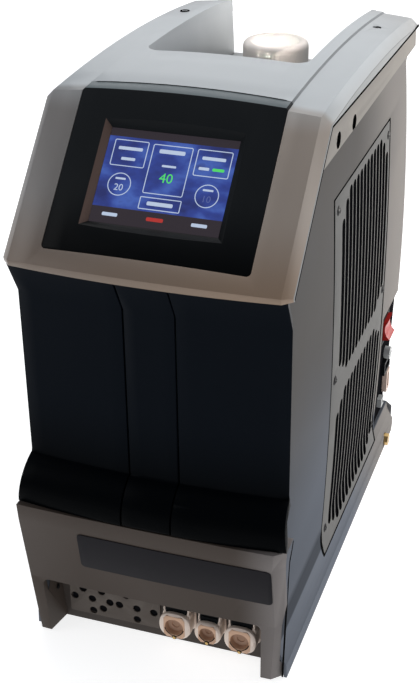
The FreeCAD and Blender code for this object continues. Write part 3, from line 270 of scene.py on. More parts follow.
@dataclass(frozen=True)
class Finish:
    """A moulded or painted finish with grain, mottling and faint handling marks."""

    name: str
    colour: Colour
    roughness: float = 0.5
    grain: Grain = Grain.FINE
    relief: float = 0.00003
    mottle: float = 0.06
    metallic: float = 0.0
    coat: float = 0.0
    specular: float = 0.5
    # Second colour that the first fades to along one axis; several finishes use it for painted light
    # and shade.
    far: Colour | None = None
    axis: Axis = Axis.X
    span: tuple[float, float] = (-0.09, 0.09)

    def tint(self, shader: Shader) -> Value:
        """Return the base colour with its mottling, faded towards the far colour if any."""
        broad = shader.noise(BROAD, 2.0)
        fine = shader.noise(self.grain.value * 2.0, 2.0)
        tone = broad * 0.6 + fine * 0.4
        near = self.mottled(shader, tone, self.colour)
        if self.far is None:
            return near
        share = shader.along(self.axis).ramp(*self.span)
        return shader.mix(share, near, self.mottled(shader, tone, self.far))

    def mottled(self, shader: Shader, tone: Value, colour: Colour) -> Value:
        """Return a colour that wanders a little with a tone from 0 to 1."""
        deep = scaled(colour, 1.0 - self.mottle)
        light = tuple(min(1.0, c * (1.0 + self.mottle)) for c in colour)
        return shader.mix(tone, deep, light)

    def material(self) -> bpy.types.Material:
        """Build the material.

        Returns:
            The finished material.
        """
        shader = Shader(self.name)
        self.paint(shader)
        return shader.material

    def paint(self, shader: Shader) -> None:
        """Set the surface of the material."""
        grain = shader.noise(self.grain.value, 2.0)
        marks = shader.noise(0.018, 4.0)
        rough = marks.ramp(0.35, 0.75) * 0.04 + grain * 0.04 + (self.roughness - 0.04)
        shader.set(Base_Color=self.tint(shader), Roughness=rough, Metallic=self.metallic,
                   Coat_Weight=self.coat, Normal=shader.bump(grain, self.relief))
        shader.set(Specular_IOR_Level=self.specular, Coat_Roughness=COAT_ROUGHNESS)


@dataclass(frozen=True)
class CasingFinish(Finish):
    """Casing paint with painted light and shade: the top is painted lighter as if lit from above,
    the slanted face, the lower lip and the side faces darker as if in shade, and the front parts
    lighter towards the right as if lit from there.
    """

    # Painted shade: the slanted face and front, the lower lip and the outer side faces; the
    # right-hand colours are painted lighter, as if lit from the right.
    face_shade: Colour = (0.2, 0.17, 0.145)
    face_shade_far: Colour = (0.2, 0.17, 0.145)
    foot: Colour = (0.140, 0.102, 0.075)
    lip_shade_far: Colour = (0.225, 0.152, 0.098)
    flank_shade: Colour = (0.20, 0.195, 0.19)
    fold: tuple[float, float] = (0.372, 0.386)
    lip: tuple[float, float] = (0.296, 0.338)
    rear: tuple[float, float] = (-0.098, -0.088)
    flank_from: float = 0.0937

    def tint(self, shader: Shader) -> Value:
        """Return the base colour: painted light on the top and at the rear, painted shade below the
        fold, on the lower lip and on the side faces.
        """
        height = shader.along(Axis.Z)
        behind = shader.along(Axis.Y).ramp(*self.rear)
        top = height.ramp(*self.fold) * 0.35 + behind * 0.65
        tone = shader.noise(BROAD, 2.0)
        across = shader.along(Axis.X).ramp(*self.span)
        foot = shader.mix(across, self.foot, self.lip_shade_far)
        face = shader.mix(height.ramp(*self.lip), foot,
                          shader.mix(across, self.face_shade, self.face_shade_far))
        blended = shader.mix(top, face, self.mottled(shader, tone, self.colour))
        side = shader.along(Axis.X)
        edge = (side > self.flank_from) + (side < -self.flank_from)
        shade = scaled(self.face_shade, 0.92)
        return shader.mix(tone * 0.16, shader.mix(edge, blended, self.flank_shade), shade)


@dataclass(frozen=True)
class PanelFinish(Finish):
    """Side panel paint with painted light and shade: darker and bluer low on the wall and in the
    cove, lighter towards the rear, along the top above the crease and on the ledge of the skirt.
    """

    # Painted shade low on the wall and in the cove; the upper strip, the skirt's ledge and the rear
    # are painted lighter as painted light.
    low: Colour = (0.106, 0.116, 0.135)
    lit_band: Colour = (0.275, 0.258, 0.236)
    rise: tuple[float, float] = (0.08, 0.24)
    crease: tuple[float, float] = (0.3505, 0.3515)
    strip: tuple[float, float] = (0.0265, 0.0285)
    cove: tuple[float, float] = (0.040, 0.052)
    cove_shade_share: float = 0.5
    ledge_light_share: float = 1.25

    def tint(self, shader: Shader) -> Value:
        """Return the base colour for the height and the depth."""
        height = shader.along(Axis.Z)
        front = shader.mix(height.ramp(*self.rise), self.low, self.colour)
        body = shader.mix(shader.along(Axis.Y).ramp(*self.span), front, self.far)
        dim = shader.mix(height.ramp(*self.cove), scaled(self.low, self.cove_shade_share), body)
        ledge = shader.mix(shader.along(Axis.Y).ramp(*self.span),
                           scaled(self.low, self.ledge_light_share), self.far)
        skirt = shader.mix(height.ramp(*self.strip), ledge, dim)
        whole = shader.mix(height.ramp(*self.crease), skirt, self.lit_band)
        return shader.mix(shader.noise(BROAD, 2.0) * 0.2, whole, self.low)


@dataclass(frozen=True)
class BrushedMetal(Finish):
    """Metal with fine drawn lines along one axis."""

    stretch: Colour = (1.0, 1.0, 0.04)

    def paint(self, shader: Shader) -> None:
        """Set drawn lines in the colour, the roughness and the relief."""
        lines = shader.noise(0.0006, 3.0, self.stretch)
        shade = scaled(self.colour, 0.8)
        shader.set(Base_Color=shader.mix(lines, shade, self.colour), Metallic=1.0,
                   Roughness=lines * 0.15 + (self.roughness - 0.07),
                   Normal=shader.bump(lines, 0.00002))


@dataclass(frozen=True)
class LitFilm(Finish):
    """Self-lit picture element of the display."""

    strength: float = 1.0

    def paint(self, shader: Shader) -> None:
        """Set a dark film with a faintly uneven glow."""
        soft = shader.noise(0.003, 1.0)
        shade = scaled(self.colour, 0.85)
        glow = shader.mix(soft, shade, self.colour)
        shader.set(Base_Color=(0.01, 0.01, 0.012), Roughness=self.roughness,
                   Emission_Color=glow, Emission_Strength=self.strength)


@dataclass(frozen=True)
class ScreenPicture(Finish):
    """Display picture: a blue field with soft clouds between two dark bars."""

    centre: Colour = (0.0, 0.0, 0.0)
    slope: float = 46.0
    height: float = 0.063
    picture: tuple[float, float] = (0.17, 0.915)
    strength: float = 1.0

    def paint(self, shader: Shader) -> None:
        """Set the glow of the field and the bars."""
        angle = math.radians(self.slope)
        up = ((shader.along(Axis.Y) - self.centre[1]) * math.cos(angle)
              + (shader.along(Axis.Z) - self.centre[2]) * math.sin(angle))
        share = up * (1.0 / self.height) + 0.5
        field_mask = (share > self.picture[0]) * (share < self.picture[1])
        clouds = shader.noise(0.022, 3.0, (1.0, 1.6, 1.6))
        blue = shader.node("ShaderNodeValToRGB", {"stops": [
            (0.30, (0.010, 0.022, 0.16)), (0.48, (0.022, 0.055, 0.34)),
            (0.62, (0.060, 0.140, 0.55)), (0.75, (0.030, 0.045, 0.22))]}, {0: clouds})
        bars = (0.020, 0.012, 0.017)
        glow = shader.mix(field_mask, bars, blue)
        shader.set(Base_Color=(0.012, 0.010, 0.012), Roughness=0.22, Emission_Color=glow,
                   Emission_Strength=self.strength, Coat_Weight=0.3)


# ------------------------------------------------------------------------------ forms
class Form:
    """Mesh making shared by the sub-assemblies. Lengths are in metres."""

    @staticmethod
    def wrap(name: str, bm: bmesh.types.BMesh, smooth: float = 30.0) -> bpy.types.Object:
        """Turn a bmesh into an object.

        Args:
            name: Name of the piece.
            bm: The mesh; it is freed.
            smooth: Edges flatter than this angle are shaded smooth, in degrees.

        Returns:
            The new object.
        """
        bmesh.ops.recalc_face_normals(bm, faces=bm.faces)
        mesh = bpy.data.meshes.new(name)
        bm.to_mesh(mesh)
        bm.free()
        piece = bpy.data.objects.new(name, mesh)
        bpy.context.scene.collection.objects.link(piece)
        mesh.shade_smooth()
        mesh.set_sharp_from_angle(angle=math.radians(smooth))
        return piece

    @staticmethod
    def apply(piece: bpy.types.Object, smooth: float = 30.0) -> bpy.types.Object:
        """Apply all modifiers of a piece and shade it again."""
        graph = bpy.context.evaluated_depsgraph_get()
        mesh = bpy.data.meshes.new_from_object(piece.evaluated_get(graph))
        piece.modifiers.clear()
        piece.data = mesh
        mesh.shade_smooth()
        mesh.set_sharp_from_angle(angle=math.radians(smooth))
        return piece

    @staticmethod
    def bevelled(piece: bpy.types.Object, width: float, segments: int = 2,
                 angle: float = 32.0) -> bpy.types.Object:
        """Round the edges of a piece.

        Args:
            piece: The piece.
            width: Width of the rounding in metres.
            segments: Number of faces across the rounding.
            angle: Edges sharper than this are rounded, in degrees.

        Returns:
            The same piece.
        """
        bevel = piece.modifiers.new("edges", "BEVEL")
        bevel.width = width
        bevel.segments = segments
        bevel.limit_method = "ANGLE"
        bevel.angle_limit = math.radians(angle)
        weigh = piece.modifiers.new("shading", "WEIGHTED_NORMAL")
        weigh.keep_sharp = True
        return Form.apply(piece, 28.0)

    @staticmethod
    def softened(node: str, width: float) -> bpy.types.Object:
        """Copy a CAD node's mesh with flat faces merged and its edges rounded.

        Args:
            node: Name of the CAD node.
            width: Width of the rounding in metres.

        Returns:
            The new piece, named after the node.
        """
        source = bpy.data.objects[node]
        bm = bmesh.new()
        bm.from_mesh(source.data)
        bmesh.ops.remove_doubles(bm, verts=bm.verts, dist=1e-6)
        bmesh.ops.dissolve_limit(bm, angle_limit=math.radians(0.6), verts=bm.verts,
                                 edges=bm.edges)
        return Form.bevelled(Form.wrap(node + "_form", bm), width)

    @staticmethod
    def pierced(outline: list[Point], holes: list[list[Point]], thick: float,
                levels: list[float] | None = None) -> bmesh.types.BMesh:
        """Make a plate with holes in the local xy plane, from z = 0 up to its thickness.

        Args:
            outline: Outer outline.
            holes: Outlines of the holes.
            thick: Thickness.
            levels: Heights y at which the faces are divided, for a plate that is bent later.

        Returns:
            The mesh.
        """
        bm = bmesh.new()
        edges = []
        for loop in [outline, *holes]:
            verts = [bm.verts.new((x, y, 0.0)) for x, y in loop]
            edges += [bm.edges.new((a, b)) for a, b in zip(verts, verts[1:] + verts[:1])]
        bmesh.ops.triangle_fill(bm, use_beauty=True, use_dissolve=False, edges=edges)
        bmesh.ops.dissolve_limit(bm, angle_limit=0.01, verts=[], edges=bm.edges)
        for level in levels or []:
            bmesh.ops.bisect_plane(bm, geom=bm.verts[:] + bm.edges[:] + bm.faces[:],
                                   dist=WEB, plane_co=(0, level, 0), plane_no=(0, 1, 0))
        lifted = bmesh.ops.extrude_face_region(bm, geom=bm.faces[:])
        top = [v for v in lifted["geom"] if isinstance(v, bmesh.types.BMVert)]
        bmesh.ops.translate(bm, verts=top, vec=(0, 0, thick))
        return bm

    @staticmethod
    def loft(rings: list[list[Vector]]) -> bmesh.types.BMesh:
        """Skin a row of rings that have the same number of points, capped at both ends.

        Args:
            rings: The rings, in order.

        Returns:
            The mesh.
        """
        bm = bmesh.new()
        rows = [[bm.verts.new(p) for p in ring] for ring in rings]
        for low, high in zip(rows, rows[1:]):
            for k in range(len(low)):
                n = (k + 1) % len(low)
                bm.faces.new((low[k], low[n], high[n], high[k]))
        bm.faces.new(rows[0])
        bm.faces.new(rows[-1])
        return bm

    @staticmethod
    def turned(profile: list[Point], sides: int = 48) -> bmesh.types.BMesh:
        """Turn a profile of (radius, height) about the local z axis, capped at both ends."""
        rings = [[Vector((r * math.cos(math.tau * k / sides), r * math.sin(math.tau * k / sides),
                          z)) for k in range(sides)] for r, z in profile]
        return Form.loft(rings)

    @staticmethod
    def disc(x: float, y: float, radius: float, sides: int = 24) -> list[Point]:
        """Return a round outline."""
        return [(x + radius * math.cos(math.tau * k / sides),
                 y + radius * math.sin(math.tau * k / sides)) for k in range(sides)]

    @staticmethod
    def panel(x: float, y: float, width: float, height: float, radius: float,
              steps: int = 6) -> list[Point]:
        """Return the outline of a rectangle with rounded corners, about its centre."""
        points = []
        for turn in range(4):
            sx, sy = ((1, 1), (-1, 1), (-1, -1), (1, -1))[turn]
            cx, cy = x + sx * (width / 2 - radius), y + sy * (height / 2 - radius)
            for k in range(steps + 1):
                a = math.pi / 2 * (turn + k / steps)
                points.append((cx + radius * math.cos(a), cy + radius * math.sin(a)))
        return points

    @staticmethod
    def inset(box: tuple[float, float, float, float], across: float, up: float,
              radius: float, steps: int = 6) -> list[Point]:
        """Return a rounded outline inside a box.

        Args:
            box: Low and high ends across, then low and high ends upward.
            across: What is taken off the width in all.
            up: What is taken off the height in all.
            radius: Radius of the corners.
            steps: Divisions of a corner.

        Returns:
            The outline.
        """
        a0, a1, b0, b1 = box
        return Form.panel((a0 + a1) / 2, (b0 + b1) / 2, a1 - a0 - across, b1 - b0 - up,
                          radius, steps)

    @staticmethod
    def bent(bm: bmesh.types.BMesh,
             place: Callable[[float, float, float], tuple[float, float, float]]) -> None:
        """Move every point of a flat plate to its place on the machine."""
        for vert in bm.verts:
            vert.co = place(*vert.co)

    @staticmethod
    def squircle(half: float, power: float, sides: int) -> list[Point]:
        """Return a rounded square outline; a power of 2 gives a circle."""
        points = []
        for k in range(sides):
            c, s = math.cos(math.tau * k / sides), math.sin(math.tau * k / sides)
            reach = (abs(c) ** power + abs(s) ** power) ** (-1.0 / power)
            points.append((half * reach * c, half * reach * s))
        return points


def on_body(piece: bpy.types.Object, body: str, slot: str, finish: bpy.types.Material,
            replaces: tuple[str, ...] = ()) -> None:
    """Dress a new piece and hang it on its CAD body.

    Args:
        piece: The piece, in place.
        body: Name of the body that it moves with.
        slot: Material slot of the record; not used.
        finish: Its material.
        replaces: CAD nodes that it stands for.
    """
    piece.data.materials.clear()
    piece.data.materials.append(finish)
    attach(piece, body)
    if replaces:
        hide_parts(*replaces)
    LOG.info("%s rides on %s", piece.name, body)


def seam(piece: bpy.types.Object, paints: Paints) -> None:
    """Dress a dark piece of the machine, used for seam lines and for painted shade in gaps between
    parts.
    """
    on_body(piece, "machine", "latch_black", paints["seam_and_gap_shade"])


def surface_of(node: bpy.types.Object) -> BVHTree:
    """Return the surface of a CAD node, to lay pieces on."""
    verts = [node.matrix_world @ vert.co for vert in node.data.vertices]
    return BVHTree.FromPolygons(verts, [tuple(face.vertices) for face in node.data.polygons])


def aim(normal: Vector, up: Vector, origin: Vector) -> Matrix:
    """Return the matrix whose local z is a normal and whose local y is up."""
    z = normal.normalized()
    x = up.cross(z).normalized()
    y = z.cross(x)
    return Matrix.Translation(origin) @ Matrix((x, y, z)).transposed().to_4x4()


# --------------------------------------------------------------------------- finishes
class Paints:
    """All finishes of the machine, made once."""

    def __init__(self, screen_centre: Vector) -> None:
        """Make every material.

        Args:
            screen_centre: Middle of the display glass.
        """
        finishes = [
            # The casing's top, slanted face, lip and sides carry painted light and shade.
            CasingFinish("shell_grey", (0.50, 0.53, 0.54), 0.38, metallic=0.1,
                         face_shade=(0.178, 0.168, 0.160), face_shade_far=(0.300, 0.252, 0.210)),
            # Painted light: the base gets lighter towards its right corner, as if lit from the
            # right.
            Finish("base_taupe", (0.057, 0.044, 0.036), 0.42, specular=0.14,
                   far=(0.180, 0.164, 0.158), span=(0.058, 0.093)),
            # Side panels with painted light and shade, lighter towards the rear.
            PanelFinish("side_grey", (0.096, 0.091, 0.086), 0.5, specular=0.0,
                        far=(0.182, 0.171, 0.161), span=(0.0, 0.14)),
            Finish("vent_light", (0.150, 0.149, 0.146), 0.45, Grain.COARSE, specular=0.0),
            Finish("panel_black", (0.0006, 0.0010, 0.0014), 0.36, specular=0.02,
                   far=(0.0034, 0.0052, 0.0082), axis=Axis.Z, span=(0.125, 0.20)),
            # Painted shade towards the bottom of the bezel, painted reflection towards its top.
            Finish("bezel_black", (0.0015, 0.0018, 0.0020), 0.3, specular=0.05,
                   far=(0.0110, 0.0125, 0.0137), axis=Axis.Z, span=(0.305, 0.345)),
            Finish("plate_black", (0.010, 0.0095, 0.012), 0.38, Grain.SMOOTH, specular=0.05),
            Finish("deck_grey", (0.30, 0.31, 0.31), 0.45),
            Finish("cap_white", (0.85, 0.79, 0.735), 0.7, Grain.SMOOTH, 0.00001, 0.02,
                   specular=0.15),
            # Painted shade: the tan middle of the collars, darker than the pale coupling colour.
            Finish("coupling_cream", (0.55, 0.34, 0.22), 0.42, Grain.SMOOTH, 0.00001),
            Finish("coupling_ring", (0.74, 0.62, 0.53), 0.38, Grain.SMOOTH, 0.00001),
            # Painted shade inside the bores of the couplings.
            Finish("coupling_bore_shade", (0.36, 0.205, 0.125), 0.42, Grain.SMOOTH, 0.00001),
            Finish("latch_black", (0.006, 0.007, 0.008), 0.42, specular=0.04),
            Finish("port_taupe", (0.085, 0.068, 0.056), 0.5, specular=0.3),
            Finish("recess_taupe", (0.050, 0.040, 0.034), 0.5, specular=0.2),
            # Painted shade: near black for the insides, the vent slots' walls and the sheets behind
            # holes.
            Finish("inner_dark", (0.006, 0.006, 0.007), 0.6, Grain.COARSE, specular=0.0),
            # Painted reflection on the black bezel's top strip.
            Finish("bezel_painted_reflection", (0.130, 0.155, 0.162), 0.35, specular=0.1),
            # Painted light on the left bevel of the screen's reveal.
            Finish("reveal_painted_light", (0.105, 0.070, 0.058), 0.4, specular=0.1),
            # Painted shade on the walls of the well, lighter towards the top.
            Finish("well_wall_shade", (0.27, 0.28, 0.285), 0.45, specular=0.2,
                   far=(0.42, 0.44, 0.45), axis=Axis.Z, span=(0.340, 0.386)),
            # Painted shade in the creases along the rails.
            Finish("shell_crease_shade", (0.24, 0.25, 0.255), 0.45, specular=0.2),
            # Painted shade on the shell's outer side faces.
            Finish("shell_side_shade", (0.34, 0.345, 0.345), 0.6, specular=0.0),
            # Painted light: the rear skirt gets lighter towards the rear.
            Finish("skirt_grey", (0.082, 0.088, 0.104), 0.45, specular=0.03,
                   far=(0.170, 0.173, 0.180), axis=Axis.Y, span=(0.05, 0.16)),
            Finish("socket_beige", (0.50, 0.38, 0.32), 0.45, Grain.SMOOTH),
            Finish("rocker_red", (0.30, 0.006, 0.004), 0.3, Grain.SMOOTH, 0.00001, coat=0.1,
                   specular=0.2),
            Finish("rubber_black", (0.018, 0.018, 0.019), 0.8, Grain.COARSE),
            Finish("fan_black", (0.014, 0.014, 0.016), 0.5),
            Finish("tank_plastic", (0.62, 0.64, 0.62), 0.45),
            Finish("ceramic_white", (0.75, 0.75, 0.72), 0.6),
            Finish("board_green", (0.012, 0.10, 0.04), 0.4),
            Finish("pump_grey", (0.07, 0.07, 0.075), 0.45),
            Finish("module_grey", (0.12, 0.12, 0.125), 0.5),
            # Dark seam lines, and painted shade in the gaps between casing parts.
            Finish("seam_and_gap_shade", (0.006, 0.006, 0.006), 0.6, specular=0.0),
            BrushedMetal("brass", (0.62, 0.42, 0.17), 0.32, stretch=(0.05, 1.0, 1.0)),
            BrushedMetal("steel", (0.45, 0.45, 0.46), 0.35),
            Finish("screw_dark", (0.012, 0.012, 0.013), 0.42, Grain.SMOOTH, specular=0.12),
            BrushedMetal("sink_aluminium", (0.55, 0.55, 0.56), 0.4),
            LitFilm("lit_white", (0.62, 0.74, 0.95), 0.3, strength=0.8),
            LitFilm("lit_green", (0.10, 0.85, 0.16), 0.3, strength=0.85),
            LitFilm("lit_red", (0.55, 0.03, 0.02), 0.3, strength=0.8),
            LitFilm("lit_dim", (0.10, 0.14, 0.40), 0.3, strength=0.8),
            ScreenPicture("screen", (0, 0, 0), 0.2, centre=tuple(screen_centre), strength=0.75),
        ]
        self.by_name = {finish.name: finish.material() for finish in finishes}

    def __getitem__(self, name: str) -> bpy.types.Material:
        """Return the material of one finish."""
        return self.by_name[name]


Chooser = Callable[[Vector, Vector], bool]
# Start of the node's name, finish, and which faces take it by normal and centre
ACCENTS: tuple[tuple[str, str, Chooser], ...] = (
    # Painted reflection: the bezel's top strip, facing up, is painted grey as if reflecting the
    # room.
    ("display_bezel", "bezel_painted_reflection", lambda way, at: way.z > 0.93 and at.z > 0.36),
    # Painted light: the left bevel of the screen's reveal is painted brown as if lit.
    ("display_bezel", "reveal_painted_light", lambda way, at: way.x > 0.35 and -0.056 < at.x < -0.03),
    ("base_front", "side_grey", lambda way, at: abs(way.x) > 0.8 and abs(at.x) > 0.086),
    # Painted shade: the base's side faces next to the side panels are painted dark, as the shade in
    # the gap there.
    ("base_front", "seam_and_gap_shade",
     lambda way, at: 0.82 < abs(way.x) < 0.975 and abs(at.x) > 0.086),
    # Painted shade: a sliver of the side panels under the shell's slanted edge, where the shell
    # shades it.
    ("side_panel", "seam_and_gap_shade",
     lambda way, at: abs(way.x) < 0.6 and 0.340 < at.z < 0.364 and -0.09 < at.y < -0.02),
    # Painted shade: the inner walls of the well, darker than the top and darker deeper down.
    ("top_shell", "well_wall_shade",
     lambda way, at: abs(way.x) > 0.9 and way.x * at.x < 0 and 0.050 < abs(at.x) < 0.0585),
    # Painted shade: the crease faces along the rails are painted darker than the top.
    ("top_shell", "shell_crease_shade",
     lambda way, at: abs(way.x) > 0.5 and way.z > 0.5 and 0.060 < abs(at.x) < 0.070),
    # Painted shade: the shell's outer side faces are painted darker than its top.
    ("top_shell", "shell_side_shade", lambda way, at: abs(way.x) > 0.9 and abs(at.x) > 0.0935))


@dataclass
class Casing:
    """Shell, panels and covers: the CAD forms with rounded edges and their finishes."""

    paints: Paints
    edge: float = 0.9 * MM
    fine_edge: float = 0.45 * MM
    soft: dict[str, str] = field(default_factory=lambda: {
        "top_shell": "shell_grey", "base_front": "base_taupe", "display_bezel": "bezel_black",
        "front_panel_left": "panel_black", "front_panel_centre": "panel_black",
        "front_panel_right": "panel_black", "rear_skirt": "skirt_grey",
        "side_panel_left": "side_grey", "side_panel_right": "side_grey",
        "rear_cover": "side_grey", "filler_deck": "deck_grey"})
    slots: dict[str, str] = field(default_factory=lambda: {
        "rear_skirt": "skirt_beige"})

    def build(self) -> None:
        """Make and dress every casing piece."""
        fine = ("side_panel_left", "side_panel_right", "rear_cover")
        for node, paint in self.soft.items():
            width = self.fine_edge if node in fine else self.edge
            piece = Form.softened(node, width)
            on_body(piece, "machine", self.slots.get(node, paint), self.paints[paint], (node,))
            for start, accent, chosen in ACCENTS:
                if node.startswith(start):
                    self.facets(piece, accent, chosen)

    def facets(self, piece: bpy.types.Object, paint: str, chosen: Chooser) -> None:
        """Give some faces of a casing piece another finish.

        Args:
            piece: The piece.
            paint: Name of the finish.
            chosen: Tells from a face's normal and centre whether it takes the finish.
        """
        piece.data.materials.append(self.paints[paint])
        for face in piece.data.polygons:
            if chosen(face.normal, face.center):
                face.material_index = len(piece.data.materials) - 1


@dataclass
class Carried:
    """CAD nodes whose form is right as it stands; each gets its finish."""

    paints: Paints
    finishes: dict[str, tuple[str, ...]] = field(default_factory=lambda: {
        "recess_taupe": ("recess_wall",),
        # Painted shade: the insides seen through gaps and vents are painted near black.
        "inner_dark": ("rear_pocket", "base_tray", "inner_frame",
                       "vent_frame_left", "vent_frame_right"),
        "latch_black": ("switch_housing", "mains_inlet", "data_port"),
        "socket_beige": ("service_port",),
        "deck_grey": ("bleed_port", "fuse_holder"),
        "brass": ("drain_fitting",),
        "tank_plastic": ("water_tank",),
        "rubber_black": ("cap_gasket",),
        "sink_aluminium": ("heat_sink_lower", "heat_sink_upper", "cold_plate"),
        "fan_black": ("fan_frame_lower", "fan_frame_upper", "fan_rotor_lower",
                      "fan_rotor_upper"),
        "ceramic_white": ("thermoelectric_modules",),
        "steel": ("power_supply",),
        "board_green": ("control_board",),
        "pump_grey": ("water_pump", "air_pump"),
        "module_grey": ("display_module",),
        "screen": ("display_glass",),
        "rocker_red": ("power_rocker",)})

    def dress(self, nodes: dict[str, bpy.types.Object]) -> None:
        """Give each node its finish.

        Args:
            nodes: The CAD nodes by name.
        """
        for paint, names in self.finishes.items():
            for name in names:
                nodes[name].data.materials.clear()
                nodes[name].data.materials.append(self.paints[paint])
                LOG.info("%s wears %s", name, paint)


@dataclass
class Display:
    """Picture elements on the display glass."""

    paints: Paints
    centre: Vector
    slope: float = 46.0
    width: float = 84.0 * MM
    height: float = 63.0 * MM
    half_glass: float = 0.8 * MM
    film: float = 0.08 * MM
    line: float = 0.55 * MM

    def frame(self) -> Matrix:
        """Return the glass's face: local x across, y up the slope, z outward."""
        angle = math.radians(self.slope)
        normal = Vector((0, -math.sin(angle), math.cos(angle)))
        up = Vector((0, math.cos(angle), math.sin(angle)))
        return aim(normal, up, self.centre + normal * (self.half_glass + 0.02 * MM))

    def at(self, u: float, v: float) -> Point:
        """Turn shares of the width and of the height, from the top left, into metres."""
        return (u - 0.5) * self.width, (0.5 - v) * self.height

    def add(self, name: str, paint: str, shapes: list[tuple[list[Point], list]]) -> None:
        """Make one piece out of several flat shapes.

        Args:
            name: Name of the piece.
            paint: Name of its finish.
            shapes: Outlines, each with its holes.
        """
        bm = bmesh.new()
        for outline, holes in shapes:
            part = Form.pierced(outline, holes, self.film)
            mesh = bpy.data.meshes.new("part")
            part.to_mesh(mesh)
            part.free()
            bm.from_mesh(mesh)
            bpy.data.meshes.remove(mesh)
        bmesh.ops.transform(bm, matrix=self.frame(), verts=bm.verts)
        on_body(Form.wrap(name, bm), "machine", "screen", self.paints[paint])

    def frame_box(self, u: float, v: float, w: float, h: float,
                  radius: float) -> tuple[list[Point], list]:
        """Return the outline of a box about (u, v) and its hole."""
        x, y = self.at(u, v)
        wide, high = w * self.width, h * self.height
        inner = Form.panel(x, y, wide - 2 * self.line, high - 2 * self.line,
                           max(radius - self.line, 0.1 * MM))
        return Form.panel(x, y, wide, high, radius), [inner]

    def ring(self, u: float, v: float, radius: float) -> tuple[list[Point], list]:
        """Return a ring about (u, v)."""
        x, y = self.at(u, v)
        return Form.disc(x, y, radius, 40), [Form.disc(x, y, radius - self.line, 40)]

    def bar(self, u: float, v: float, w: float, h: float) -> tuple[list[Point], list]:
        """Return a short bar with round ends."""
        x, y = self.at(u, v)
        return Form.panel(x, y, w * self.width, h * self.height,
                          min(w * self.width, h * self.height) * 0.3, 3), []

    def number(self, name: str, text: str, paint: str, u: float, v: float,
               size: float) -> None:
        """Add a plain number.

        Args:
            name: Name of the piece.
            text: The digits.
            paint: Name of the finish.
            u: Share of the width of its middle.
            v: Share of the height of its middle.
            size: Height of the digits in metres.
        """
        curve = bpy.data.curves.new(name, "FONT")
        curve.body = text
        curve.size = size * 1.4
        curve.align_x = "CENTER"
        curve.align_y = "CENTER"
        curve.extrude = self.film / 2
        curve.resolution_u = 3
        holder = bpy.data.objects.new(name, curve)
        bpy.context.scene.collection.objects.link(holder)
        bpy.context.view_layer.update()
        graph = bpy.context.evaluated_depsgraph_get()
        mesh = bpy.data.meshes.new_from_object(holder.evaluated_get(graph))
        bpy.data.objects.remove(holder)
        bm = bmesh.new()
        bm.from_mesh(mesh)
        x, y = self.at(u, v)
        place = self.frame() @ Matrix.Translation((x, y, self.film / 2))
        bmesh.ops.remove_doubles(bm, verts=bm.verts, dist=WEB)
        bmesh.ops.transform(bm, matrix=place, verts=bm.verts)
        on_body(Form.wrap(name, bm), "machine", "screen", self.paints[paint])

    def build(self) -> None:
        """Draw the boxes, rings, bars and plain numbers."""
        boxes = [self.frame_box(0.185, 0.255, 0.27, 0.28, 1.2 * MM),
                 self.frame_box(0.51, 0.385, 0.31, 0.52, 1.2 * MM),
                 self.frame_box(0.835, 0.265, 0.27, 0.28, 1.2 * MM),
                 self.frame_box(0.51, 0.745, 0.32, 0.13, 0.8 * MM),
                 self.ring(0.165, 0.585, 7.6 * MM), self.ring(0.845, 0.6, 7.6 * MM)]
        self.add("screen_outlines", "lit_white", boxes)
        labels = [self.bar(0.185, 0.205, 0.19, 0.034), self.bar(0.185, 0.315, 0.11, 0.03),
                  self.bar(0.51, 0.195, 0.20, 0.042), self.bar(0.51, 0.345, 0.11, 0.022),
                  self.bar(0.835, 0.215, 0.18, 0.034), self.bar(0.775, 0.325, 0.08, 0.03),
                  self.bar(0.51, 0.745, 0.20, 0.04), self.bar(0.165, 0.525, 0.08, 0.02),
                  self.bar(0.845, 0.54, 0.08, 0.02), self.bar(0.15, 0.905, 0.12, 0.035),
                  self.bar(0.84, 0.905, 0.12, 0.035)]
        self.add("screen_labels", "lit_white", labels)
        self.add("screen_choice", "lit_green", [self.bar(0.885, 0.325, 0.09, 0.03)])
        self.add("screen_halt", "lit_red", [self.bar(0.5, 0.905, 0.13, 0.038)])
        self.number("screen_reading", "40", "lit_green", 0.51, 0.475, 6.4 * MM)
        self.number("screen_count_left", "20", "lit_white", 0.165, 0.62, 4.4 * MM)
        self.number("screen_count_right", "10", "lit_dim", 0.845, 0.635, 4.4 * MM)


